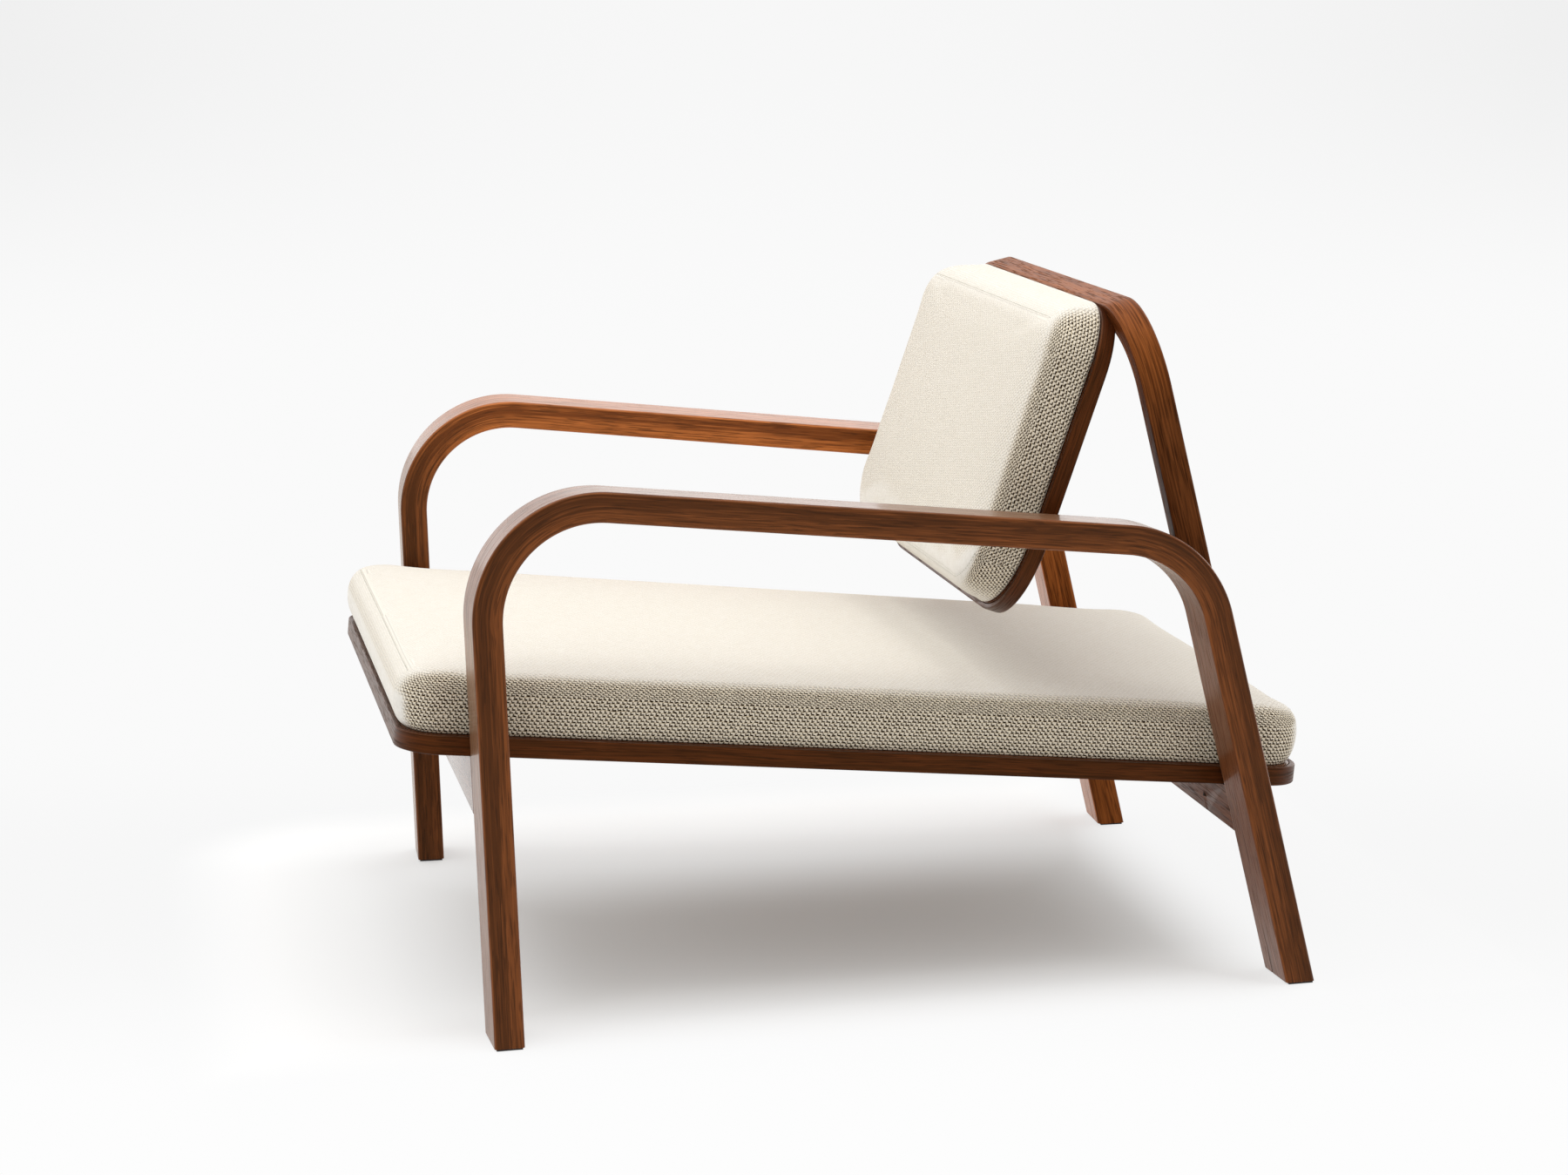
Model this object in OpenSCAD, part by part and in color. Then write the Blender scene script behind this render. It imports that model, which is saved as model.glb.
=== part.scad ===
// Low lounge chair: two bent-laminated side loops, a full-height bent back hoop, a seat
// board on two cross rails, and upholstered seat and back pads.
// Millimetres. +Z is up, the front faces -Y, the floor is Z = 0.

/* [Side loops] */
// Lateral width of a side loop lamination
loop_w = 58.4; // [44:0.2:72]
// Thickness of the lamination in the plane of the loop
loop_t = 28; // [22:0.5:34]
// Half of the overall width, outer face at the floor, at the middle of the depth
loop_half_span = 361; // [330:0.2:395]
// Front face of the front foot, from the middle of the chair
front_foot_y = -369; // [-410:1:-330]
// Rear face of the rear foot, from the middle of the chair
rear_foot_y = 422; // [390:1:460]
// Forward lean of the front leg, degrees
front_lean = 1.08; // [0:0.02:4]
// Rake of the rear leg, degrees
rear_rake = 12.72; // [8:0.02:17]
// Height of the top of the arm at the middle of the depth
arm_top_z = 477.5; // [440:0.5:520]
// Fall of the arm to the rear, degrees
arm_fall = 6.41; // [3:0.01:9]
// Outer radius of the front bend
front_bend_r = 116; // [90:1:140]
// Outer radius of the rear bend
rear_bend_r = 114; // [90:1:140]
// Angle by which each loop turns in towards the rear, degrees
loop_toe = 2.15; // [0.5:0.05:3.5]
// Angle by which each loop leans in towards the top, degrees
loop_cant = 1.91; // [0.5:0.01:3]
// Radius of the eased long edges of the bent members
edge_r = 3; // [1:0.5:6]

/* [Back hoop] */
// Thickness of the hoop lamination, across the chair
hoop_t = 24; // [18:0.5:30]
// Length of the hoop from the floor to its top, along its own plane
hoop_len = 666; // [620:1:710]
// Outer radius of the two upper bends of the hoop
hoop_bend_r = 80; // [55:1:110]

/* [Cross rails] */
// Thickness of both cross rails
rail_t = 24; // [18:1:32]
// Height of the lower edge of the front rail over the floor
front_rail_z = 207; // [180:1:230]
// Height of the lower edge of the rear rail over the floor
rear_rail_z = 138; // [115:1:155]
// Diameter of the dowels at the rail ends
dowel_d = 10; // [6:1:12]
// Length of the dowels at the rail ends
dowel_l = 60; // [50:1:70]

/* [Seat board] */
// Length of the board along its slope
board_l = 880; // [840:1:920]
// Place of the board's front edge, measured along its slope from the middle of the chair
board_front = -445; // [-460:1:-425]
// Thickness of the board
board_t = 18; // [12:1:24]
// Height of the underside of the board over the floor, at the middle of the chair
board_z = 220; // [205:0.5:240]
// Slope of the seat down to the rear, degrees
seat_slope = 6.01; // [4:0.01:8]
// Clear gap between the board and the side loops
board_gap = 5; // [3:0.5:10]
// Radius of the corners of the board
board_corner_r = 40; // [25:1:60]
// Width of the solid lipping round the two boards
lip_w = 6; // [3:0.5:10]

/* [Seat pad] */
// Thickness of the seat pad at its seam
seat_pad_t = 57; // [40:1:75]
// Rise of the seat pad from its seam to its middle
seat_crown = 4; // [0:0.5:12]
// Step in from the edge of the board to the side of the pad
seat_pad_inset = 2; // [0:0.5:8]
// Bulge of the front and rear panels of the pad at half its height
seat_end_bulge = 7; // [0:0.5:12]

/* [Back board] */
// Thickness of the back board
back_t = 15; // [12:0.5:20]
// Clear gap between the back board and each arm, at the side pins
back_side_gap = 19.1; // [12:0.1:40]
// Angle by which the back leans rearwards, degrees
back_rake = 19.8; // [14:0.1:24]
// How much lower the top of the back board is than the top front edge of the hoop
back_top_step = 7.92; // [2:0.02:15]
// Depth by which the back board's top edge is planed off to lie on the hoop's front face
back_bite = 9.03; // [4:0.01:12]
// Height of the lower edge of the back board, along its slope from the floor
back_low = 364.5; // [350:0.5:385]
// Radius of the lower corners of the back board
back_low_r = 88; // [50:1:120]
// Radius of the upper corners of the back board
back_top_r = 60; // [35:1:90]

/* [Back pad] */
// Thickness of the back pad at its seam
back_pad_t = 50; // [35:1:65]
// Rise of the back pad from its seam to its middle
back_crown = 4; // [0:0.5:12]
// How much lower the top seam of the pad is than its top at the rear
back_top_drop = 20; // [0:1:30]
// How much higher the bottom seam of the pad is than its bottom at the rear
back_low_rise = 11; // [0:1:20]
// Height by which the top of the pad stands over the top of the board
back_pad_over = 7; // [0:0.5:10]

/* [Upholstery] */
// Thickness of the woven cover
cover_t = 1.6; // [1:0.1:3]
// Thickness of the plywood base inside each pad
base_t = 9; // [6:0.5:12]
// Step in from the side of a pad to its plywood base
base_inset = 9; // [5:0.5:20]
// Width by which the cover is turned in under the base
turn_in = 55; // [30:1:80]

/* [Fasteners] */
// Shank diameter of the screws that hold the pads
pad_screw_d = 6; // [5:0.5:8]
// Shank diameter of the wood screws in the rails and the hoop
wood_screw_d = 4.5; // [3.5:0.5:6]
// Diameter of the counterbores for wood screws
bore_d = 11; // [9:0.5:13]
// Diameter of the back's side pins in the arms
pin_d = 10; // [8:0.5:12]
// Depth of the side pins in each arm
pin_in_arm = 22; // [14:1:40]
// Depth of the side pins in the back board's edge
pin_in_board = 30; // [18:1:45]
// Thickness of the foot glides
glide_t = 2; // [1:0.5:4]
// Step in from a foot's outline to its glide
glide_inset = 2; // [1:0.5:4]
// Clearance between pieces that seat on each other
fit_gap = 0.2; // [0.1:0.05:0.3]

/* [Hidden] */
$fn = 96;

walnut = [0.42, 0.25, 0.16];
walnut_dark = [0.36, 0.21, 0.13];
ply = [0.72, 0.58, 0.42];
cream = [0.88, 0.85, 0.77];
foam_grey = [0.90, 0.89, 0.84];
steel = [0.70, 0.70, 0.70];
beech = [0.80, 0.68, 0.50];
rubber_black = [0.10, 0.10, 0.10];

// Straight past the floor or a face before a member is cut to length
spare = 40;
// Overlap of a straight run with the bend next to it, and the skin a bend loses there
join = 0.5;
bend_skin = 0.02;
// Larger than the chair, for half-spaces that cut ends to a plane
beyond = 1200;

// Unit vectors at an angle, and the meeting point of two lines given as point and direction
function along(a) = [cos(a), sin(a)];
function cross2(p, q) = p[0] * q[1] - p[1] * q[0];
function meet(p, d, q, e) = p + d * (cross2(q - p, e) / cross2(d, e));

// Side loop, drawn in its own plane as [y, z]: a point and an upward or rearward direction
// for the outer face of each of the three straight runs, and the normals that point inwards
front_p = [front_foot_y, 0];
front_d = along(90 + front_lean);
front_n = along(front_lean);
arm_p = [0, arm_top_z];
arm_d = along(-arm_fall);
arm_n = along(-90 - arm_fall);
rear_p = [rear_foot_y, 0];
rear_d = along(90 + rear_rake);
rear_n = along(180 + rear_rake);
front_c = meet(front_p + front_n * front_bend_r, front_d, arm_p + arm_n * front_bend_r, arm_d);
rear_c = meet(arm_p + arm_n * rear_bend_r, arm_d, rear_p + rear_n * rear_bend_r, rear_d);
front_top = front_c - front_n * front_bend_r;
arm_start = front_c - arm_n * front_bend_r;
arm_end = rear_c - arm_n * rear_bend_r;
rear_top = rear_c - rear_n * rear_bend_r;

// Where the inner face of a side loop stands, at a depth y and a height z
function inner_x(y, z) = loop_half_span - loop_w * cos(loop_cant)
    - z * tan(loop_cant) - y * tan(loop_toe);

// Back hoop, drawn in its own plane as [x, s]: its legs fill the housings in the rear legs,
// flush with the loops' inner faces and rear faces
hoop_y = rear_foot_y - (loop_w - hoop_t / 2) * sin(loop_toe);
hoop_half = inner_x(hoop_y, 0) + hoop_t;
hoop_cant = atan(cos(rear_rake) * (tan(loop_cant) - tan(loop_toe) * tan(rear_rake)));
hoop_p = [hoop_half, 0];
hoop_d = along(90 + hoop_cant);
hoop_n = along(180 + hoop_cant);
hoop_c = meet(hoop_p + hoop_n * hoop_bend_r, hoop_d, [0, hoop_len - hoop_bend_r], [1, 0]);
hoop_leg_top = hoop_c - hoop_n * hoop_bend_r;

// Front faces of the legs on the inner side, where the rails are flush with them
function front_face_y(z) = front_foot_y - z * tan(front_lean) - loop_w * sin(loop_toe);
function rear_face_y(z) = hoop_y - z * tan(rear_rake) - loop_t / cos(rear_rake);
// Underside of the seat board at a depth y
function board_under_z(y) = board_z - y * tan(seat_slope);

// Seat board outline, in the board's own plane
taper = tan(loop_toe);
board_rear = board_front + board_l;
board_half = inner_x(0, board_z) - board_gap;

// Back board, in its own plane: s runs up its slope from the floor to the hoop's top bar
back_top_z = hoop_len * cos(rear_rake) - loop_t * sin(rear_rake) - back_top_step;
back_high = back_top_z / cos(back_rake);
back_y = rear_face_y(back_top_z) + back_bite - back_top_z * tan(back_rake);

// Seat pad, measured from the top of the board
pad_z = board_t + fit_gap;
// Back pad, measured from the front of the board
back_pad_c = back_t + fit_gap;

// Screws that hold the pads: out from the middle, and in from the front, rear, low and high edges
seat_screw_x = 190;
seat_screw_in = 110;
back_screw_x = 150;
back_screw_low = 70;
back_screw_high = 90;
seat_screws = [for (x = [-seat_screw_x, seat_screw_x],
    y = [board_front + seat_screw_in, 0, board_rear - seat_screw_in]) [x, y]];
back_screws = [for (x = [-back_screw_x, back_screw_x],
    s = [back_low + back_screw_low, back_high - back_screw_high]) [x, s]];
// Wood screws in the rails and in the hoop's top bar: out from the middle
rail_screw_out = 200;
hoop_screw_out = 140;
rail_screw_x = [-rail_screw_out, 0, rail_screw_out];
hoop_screw_x = [-hoop_screw_out, 0, hoop_screw_out];
// Dowels in each hoop leg: up from the floor
hoop_dowel_low = 60;
hoop_dowel_mid = 225;
hoop_dowel_high = 345;
// Line of the screws in the hoop's top bar, and middle of the pins that join the arms to the back
bar_s = hoop_len - hoop_t * 0.7;
pin_c = back_t / 2;
pin_z = meet([back_y, 0] + along(180) * (pin_c / cos(back_rake)), along(90 - back_rake),
    arm_p + arm_n * (loop_t / 2), arm_d)[1];
pin_y = back_y + pin_z * tan(back_rake) - pin_c / cos(back_rake);
back_w = 2 * (inner_x(pin_y, pin_z) - back_side_gap);

// Cross-section of a bent member: outer face on x = 0, inner face on x = -t, its width below
// y = 0, and all its faces set in by skin
module eased_section(t, w, skin) {
    r = edge_r - skin;
    translate([-t + skin, edge_r - w]) square([t - 2 * skin, w - 2 * edge_r]);
    translate([edge_r - t, skin - w]) square([t - 2 * edge_r, w - 2 * skin]);
    for (x = [-edge_r, edge_r - t], y = [-edge_r, edge_r - w])
        translate([x, y]) circle(r);
}

// Straight run from point p, at angle a, with its outer face to the left; its ends run a
// little into the bends next to it, so that they grow together
module straight_run(p, a, len, t, w) {
    translate([p[0], p[1], 0]) rotate([0, 0, a]) translate([-join, 0, 0])
        rotate([90, 0, 90]) linear_extrude(len + 2 * join) eased_section(t, w, 0);
}

// Bend about centre c, from angle a0 to the smaller angle a1, a hair thinner than the runs
module bend(c, a0, a1, r, t, w) {
    translate([c[0], c[1], 0]) rotate([0, 0, a1])
        rotate_extrude(angle = a0 - a1) translate([r, 0]) eased_section(t, w, bend_skin);
}

// One side loop lying flat: [y, z] in the drawing plane, its width below it
module flat_loop() {
    union() {
        straight_run(front_p - front_d * spare, 90 + front_lean,
            norm(front_top - front_p) + spare, loop_t, loop_w);
        bend(front_c, 180 + front_lean, 90 - arm_fall, front_bend_r, loop_t, loop_w);
        straight_run(arm_start, -arm_fall, norm(arm_end - arm_start), loop_t, loop_w);
        bend(rear_c, 90 - arm_fall, rear_rake, rear_bend_r, loop_t, loop_w);
        straight_run(rear_top, rear_rake - 90, norm(rear_top - rear_p) + spare,
            loop_t, loop_w);
    }
}

// From a loop's own plane to its place on the sitter's left
module place_left() {
    translate([loop_half_span, 0, 0]) rotate([0, -loop_cant, loop_toe])
        rotate([90, 0, 90]) children();
}

// From the hoop's own plane to its place; its rear face is the drawing plane
module place_hoop() {
    translate([0, hoop_y, 0]) rotate([90 + rear_rake, 0, 0]) children();
}

// From the seat board's own plane to its place; its underside is the drawing plane
module place_seat() {
    translate([0, 0, board_z]) rotate([-seat_slope, 0, 0]) children();
}

// From the back board's own plane to its place; its rear face is the drawing plane
module place_back() {
    translate([0, back_y, 0]) rotate([90 - back_rake, 0, 0]) children();
}

// Everything below a height over the floor
module below(z) {
    translate([-beyond / 2, -beyond / 2, z - beyond]) cube(beyond);
}

// Everything outside the inner face of the left loop, less a clearance
module outside_left(gap) {
    place_left() translate([-beyond / 2, -beyond / 2, -loop_w - gap]) cube(beyond);
}

// Housing of one hoop leg on the sitter's left, open to the rear and to the inner side
module hoop_leg_space(gap) {
    place_hoop() translate([hoop_p[0], 0, -spare]) rotate([0, 0, hoop_cant])
        translate([-hoop_t - spare, -spare, 0])
            cube([hoop_t + spare + gap, norm(hoop_leg_top) + 2 * spare, loop_t + gap + spare]);
}

module both_sides() {
    children();
    mirror([1, 0, 0]) children();
}

// Dowel holes or dowels at the two ends of each rail, on the sitter's left
module rail_dowel_set(d, extra) {
    for (up = [0.3, 0.72]) {
        front_z = front_rail_z + up * (board_under_z(front_foot_y) - front_rail_z);
        rear_z = rear_rail_z + up * (board_under_z(rear_face_y(rear_rail_z)) - rear_rail_z);
        front_y = front_face_y(front_z) + rail_t / 2;
        rear_y = rear_face_y(rear_z) + rail_t / 2;
        translate([inner_x(front_y, front_z) - dowel_l / 2 - extra, front_y, front_z])
            rotate([0, 90, 0]) cylinder(d = d, h = dowel_l + 2 * extra);
        translate([inner_x(rear_y, rear_z) - dowel_l * 0.4 - extra, rear_y, rear_z])
            rotate([0, 90, 0]) cylinder(d = d, h = dowel_l + 2 * extra);
    }
}

// Hidden dowels between a hoop leg and its housing, on the sitter's left
module hoop_dowel_set(d, extra) {
    for (s = [hoop_dowel_low, hoop_dowel_mid, hoop_dowel_high])
        place_hoop() translate([hoop_p[0] - s * tan(hoop_cant) - hoop_t * 0.7 - extra, s, loop_t / 2])
            rotate([0, 90, 0]) cylinder(d = d, h = hoop_t * 1.4 + 2 * extra);
}

// Space of the side pin in the arm, on the sitter's left
module pin_hole() {
    translate([inner_x(pin_y, pin_z) - 1, pin_y, pin_z]) rotate([0, 90, 0])
        cylinder(d = pin_d + 2 * fit_gap, h = pin_in_arm + 1 + fit_gap);
}

module side_loop() {
    difference() {
        place_left() flat_loop();
        hoop_leg_space(fit_gap);
        below(glide_t);
        rail_dowel_set(dowel_d + 2 * fit_gap, fit_gap);
        hoop_dowel_set(dowel_d - 2 + 2 * fit_gap, fit_gap);
        pin_hole();
    }
}

module left_side_loop() {
    color(walnut) side_loop();
}

module right_side_loop() {
    color(walnut) mirror([1, 0, 0]) side_loop();
}

// Bend and leg of the hoop lying flat, on the sitter's left
module flat_hoop_leg() {
    bend(hoop_c, 90, hoop_cant, hoop_bend_r, hoop_t, loop_t);
    straight_run(hoop_leg_top, hoop_cant - 90, norm(hoop_leg_top - hoop_p) + spare, hoop_t, loop_t);
}

module flat_hoop() {
    straight_run([-hoop_c[0], hoop_len], 0, 2 * hoop_c[0], hoop_t, loop_t);
    both_sides() flat_hoop_leg();
}

module back_hoop() {
    color(walnut) difference() {
        place_hoop() translate([0, 0, loop_t]) flat_hoop();
        below(glide_t);
        both_sides() rail_dowel_set(dowel_d + 2 * fit_gap, fit_gap);
        both_sides() hoop_dowel_set(dowel_d - 2 + 2 * fit_gap, fit_gap);
        place_hoop() for (x = hoop_screw_x) translate([x, bar_s, 0]) {
            translate([0, 0, -1]) cylinder(d = bore_d + 2 * fit_gap, h = loop_t / 2 + 1);
            cylinder(d = wood_screw_d + 2 * fit_gap, h = loop_t + 1);
        }
    }
}

// A rail as a bar that the seat board, the floor side and the side members then trim
module seat_side_screw_holes(rail_y) {
    for (x = rail_screw_x) place_seat() translate([x, rail_y / cos(seat_slope), 0]) {
        translate([0, 0, -beyond / 2]) cylinder(d = wood_screw_d + 2 * fit_gap, h = beyond / 2 + 1);
        translate([0, 0, -beyond / 2 - rail_screw_grip]) cylinder(d = bore_d, h = beyond / 2);
    }
}

// Length of rail that a seat screw passes through, over its counterbore
rail_screw_grip = 26;
// Depth of a seat screw in the board
rail_screw_bite = 13;
// Height of the head of a wood screw
wood_head_h = wood_screw_d * 0.6;
front_screw_y = front_face_y(front_rail_z) + rail_t / 2;
rear_screw_y = rear_face_y(board_under_z(rear_face_y(rear_rail_z))) + rail_t / 2;

// Everything above the underside of the seat board
module over_board(gap) {
    place_seat() translate([-beyond / 2, -beyond / 2, -gap]) cube(beyond);
}

module front_cross_rail() {
    color(walnut_dark) difference() {
        translate([-beyond / 2, front_foot_y - loop_w * sin(loop_toe), 0]) rotate([front_lean, 0, 0])
            cube([beyond, rail_t, beyond / 2]);
        below(front_rail_z);
        over_board(fit_gap);
        both_sides() outside_left(fit_gap);
        both_sides() rail_dowel_set(dowel_d + 2 * fit_gap, fit_gap);
        seat_side_screw_holes(front_screw_y);
    }
}

// Everything beyond the inner face of the hoop's left leg
module outside_hoop_leg(gap) {
    place_hoop() translate([hoop_p[0], 0, 0]) rotate([0, 0, hoop_cant])
        translate([-hoop_t - gap, -beyond / 2, -beyond / 2]) cube(beyond);
}

module rear_cross_rail() {
    color(walnut_dark) difference() {
        place_hoop() translate([-beyond / 2, 0, loop_t - rail_t]) cube([beyond, beyond / 2, rail_t]);
        below(rear_rail_z);
        over_board(fit_gap);
        both_sides() outside_hoop_leg(fit_gap);
        both_sides() rail_dowel_set(dowel_d + 2 * fit_gap, fit_gap);
        seat_side_screw_holes(rear_screw_y);
    }
}

// Plan of the seat board or of what lies on it, stepped in from its edge
module seat_plan(inset) {
    r = max(board_corner_r - inset, 4);
    half = board_half - inset / cos(loop_toe);
    a = board_front + inset;
    b = board_rear - inset;
    centres = [for (y = [a + r, b - r]) [half - y * taper - r / cos(loop_toe), y]];
    n = along(loop_toe) * r;
    right = [[centres[0][0], a], centres[0] + n, centres[1] + n, [centres[1][0], b]];
    polygon(concat(right, [for (i = [3:-1:0]) [-right[i][0], right[i][1]]]));
    for (c = centres, side = [-1, 1]) translate([side * c[0], c[1]]) circle(r);
}

// Outline of the back board or of what lies on it, stepped in from its edge
module back_plan(inset) {
    low_r = max(back_low_r - inset, 4);
    top_r = max(back_top_r - inset, 4);
    half = back_w / 2 - inset;
    a = back_low + inset;
    b = back_high - inset;
    right = [[half - low_r, a], [half, a + low_r], [half, b - top_r], [half - top_r, b]];
    polygon(concat(right, [for (i = [3:-1:0]) [-right[i][0], right[i][1]]]));
    for (side = [-1, 1]) {
        translate([side * (half - low_r), a + low_r]) circle(low_r);
        translate([side * (half - top_r), b - top_r]) circle(top_r);
    }
}

module pad_screw_holes(places, len) {
    for (p = places) translate([p[0], p[1], -1]) cylinder(d = pad_screw_d + 2 * fit_gap, h = len + 2);
}

module seat_board() {
    color(walnut) difference() {
        place_seat() difference() {
            linear_extrude(board_t) seat_plan(lip_w + fit_gap);
            pad_screw_holes(seat_screws, board_t);
        }
        for (y = [front_screw_y, rear_screw_y], x = rail_screw_x)
            place_seat() translate([x, y / cos(seat_slope), -1])
                cylinder(d = wood_screw_d + 2 * fit_gap, h = rail_screw_bite + 1 + fit_gap);
    }
}

module seat_board_lipping() {
    color(walnut) place_seat() linear_extrude(board_t) difference() {
        seat_plan(0);
        seat_plan(lip_w);
    }
}

// The wedge behind the hoop's front face, which the back board's top edge is planed to
module behind_hoop_face(gap) {
    place_hoop() translate([-beyond / 2, hoop_len / 2, -beyond + loop_t + gap]) cube(beyond);
}

// Socket of a side pin in the edge of the back board
module pin_sockets() {
    both_sides() translate([back_w / 2 - pin_in_board - fit_gap, pin_y, pin_z]) rotate([0, 90, 0])
        cylinder(d = pin_d - 2 + 2 * fit_gap, h = pin_in_board + 5);
}

module back_top_screw_holes() {
    place_hoop() for (x = hoop_screw_x) translate([x, bar_s, loop_t - 1])
        cylinder(d = wood_screw_d + 2 * fit_gap, h = 11);
}

module back_board() {
    color(walnut) difference() {
        place_back() difference() {
            linear_extrude(back_t) back_plan(lip_w + fit_gap);
            pad_screw_holes(back_screws, back_t);
        }
        behind_hoop_face(fit_gap);
        pin_sockets();
        back_top_screw_holes();
    }
}

module back_board_lipping() {
    color(walnut) difference() {
        place_back() linear_extrude(back_t) difference() {
            back_plan(0);
            back_plan(lip_w);
        }
        behind_hoop_face(fit_gap);
        pin_sockets();
    }
}

module place_nuts(places) {
    for (p = places) translate([p[0], p[1], 0]) children();
}

// Plywood base of a pad, with seats for the screw nuts
module pad_base_holes(places) {
    place_nuts(places) {
        translate([0, 0, -1]) cylinder(d = nut_d + 2 * fit_gap, h = base_t + 2);
        translate([0, 0, base_t - nut_flange_t - fit_gap])
            cylinder(d = nut_flange_d + 2 * fit_gap, h = base_t);
    }
}

// Nut that is pressed into a pad base: barrel, flange and its own flange thickness
nut_d = pad_screw_d + 2.5;
nut_flange_d = 19;
nut_flange_t = 1.5;

module seat_pad_base() {
    color(ply) place_seat() translate([0, 0, pad_z + cover_t + fit_gap]) difference() {
        linear_extrude(base_t) seat_plan(seat_pad_inset + base_inset);
        pad_base_holes(seat_screws);
    }
}

module back_pad_base() {
    color(ply) place_back() translate([0, 0, back_pad_c + cover_t + fit_gap]) difference() {
        linear_extrude(base_t) back_plan(seat_pad_inset + base_inset);
        pad_base_holes(back_screws);
    }
}

// Points round a rounded trapezoid: y from a to b, half widths ha and hb at those ends,
// corner radii ra and rb; the straight sides draw in by waist at their middles
corner_steps = 5;
side_steps = 6;
function side_points(p, q, waist, n) = [for (i = [1:side_steps - 1])
    let (f = i / side_steps) p + (q - p) * f - n * (waist * sin(180 * f))];
function corner_points(c, r, from) = [for (i = [0:corner_steps]) c + r * along(from + 90 * i / corner_steps)];
function ring(a, b, ha, hb, ra, rb, waist) =
    let (
        low_right = [ha - ra, a + ra], low_left = [ra - ha, a + ra],
        high_right = [hb - rb, b - rb], high_left = [rb - hb, b - rb]
    )
    concat(
        corner_points(low_right, ra, -90),
        side_points(low_right + [ra, 0], high_right + [rb, 0], waist, [1, 0]),
        corner_points(high_right, rb, 0),
        side_points(high_right + [0, rb], high_left + [0, rb], waist, [0, 1]),
        corner_points(high_left, rb, 90),
        side_points(high_left - [rb, 0], low_left - [ra, 0], waist, [-1, 0]),
        corner_points(low_left, ra, 180),
        side_points(low_left - [0, ra], low_right - [0, ra], waist, [0, -1])
    );
ring_n = 4 * (corner_steps + 1) + 4 * (side_steps - 1);

// Section of a pad as [step in, share of the thickness]: bottom, side, seam, shoulder
side_section = [[14, 0], [4, 0], [0.8, 0.05], [0, 0.2], [-1.2, 0.5], [0, 0.78], [1.5, 0.92]];
seam_section = [[5, 0.985], [13, 1.02]];
crown_section = [[45, 0.35], [110, 0.75], [180, 0.95]];

// Height of the pad's upper side over its seam at a share of its crown
function lift(t, share, crown) = t * 1.03 + crown * share;

// Rings of a pad stepped in all over by d; f gives a ring's outline from its step and height
function seat_ring(step, z) =
    let (bulge = seat_end_bulge * sin(180 * min(z / seat_pad_t, 1)),
        a = board_front + seat_pad_inset + step - bulge, b = board_rear - seat_pad_inset - step + bulge,
        r = max(board_corner_r - step, 6), half = board_half - seat_pad_inset - step)
    [for (p = ring(a, b, half - a * taper, half - b * taper, r, r, seat_waist)) [p[0], p[1], z]];
function back_ring(step, z) =
    let (share = min(z / back_pad_t, 1),
        a = back_low + seat_pad_inset + step + back_low_rise * share,
        b = back_high + back_pad_over - step - back_top_drop * share,
        low_r = max(back_low_r - 28 * share - step, 6), top_r = max(back_top_r - 22 * share - step, 6),
        half = back_w / 2 - 1 - step)
    [for (p = ring(a, b, half, half, low_r, top_r, seat_waist)) [p[0], p[1], z]];
seat_waist = 1.5;

// One outline for each ring of a pad, from the bottom up: step in and height
function pad_levels(t, crown, d, z0) = concat(
    [for (s = side_section) [s[0] + d, max(s[1] * (t - d), z0)]],
    [for (s = seam_section) [s[0] + d, s[1] * t - d]],
    [for (s = crown_section) [s[0] + d, lift(t, s[1], crown) - d]]
);

// Faces between ring k and the next, and a fan from a ring to a single point
function band(k, m, n) = [for (i = [0:n - 1]) each [
    [k * n + i, m * n + i, m * n + (i + 1) % n],
    [k * n + i, m * n + (i + 1) % n, k * n + (i + 1) % n]]];
function fan(k, n, apex) = [for (i = [0:n - 1]) [k * n + i, apex, k * n + (i + 1) % n]];
function turned(faces) = [for (f = faces) [f[2], f[1], f[0]]];
function middle(pts) = [for (i = [0:2]) [for (p = pts) p[i]] * [for (p = pts) 1] / len(pts)];

// Closed solid from rings that start at the bottom and end near the middle of the top
module pad_solid(rings, top_z) {
    count = len(rings);
    low = middle(rings[0]);
    high = middle(rings[count - 1]);
    polyhedron(
        points = concat([for (r = rings) each r], [low, [high[0], high[1], top_z]]),
        faces = concat(
            [for (k = [0:count - 2]) each band(k, k + 1, ring_n)],
            turned(fan(0, ring_n, count * ring_n)),
            fan(count - 1, ring_n, count * ring_n + 1)
        ),
        convexity = 4
    );
}

// Open-bottomed skin: the outer rings from the turned-in edge to the middle of the top, then
// the inner rings back to the edge
module pad_skin(outer, inner, top_z, skin_t) {
    no = len(outer);
    ni = len(inner);
    high = middle(outer[no - 1]);
    last = no + ni;
    polyhedron(
        points = concat([for (r = outer) each r], [for (r = inner) each r],
            [[high[0], high[1], top_z], [high[0], high[1], top_z - skin_t]]),
        faces = concat(
            [for (k = [0:no - 2]) each band(k, k + 1, ring_n)],
            fan(no - 1, ring_n, last * ring_n),
            turned(concat([for (k = [no:last - 2]) each band(k, k + 1, ring_n)],
                fan(last - 1, ring_n, last * ring_n + 1), band(0, no, ring_n)))
        ),
        convexity = 6
    );
}

foam_z = cover_t + base_t + 2 * fit_gap;
foam_d = cover_t + fit_gap;

module seat_foam() {
    levels = pad_levels(seat_pad_t, seat_crown, foam_d, foam_z);
    rings = [for (l = levels) seat_ring(l[0], l[1])];
    color(foam_grey) place_seat() translate([0, 0, pad_z])
        pad_solid([for (i = [2:len(rings) - 1]) rings[i]], lift(seat_pad_t, 1, seat_crown) - foam_d);
}

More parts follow.
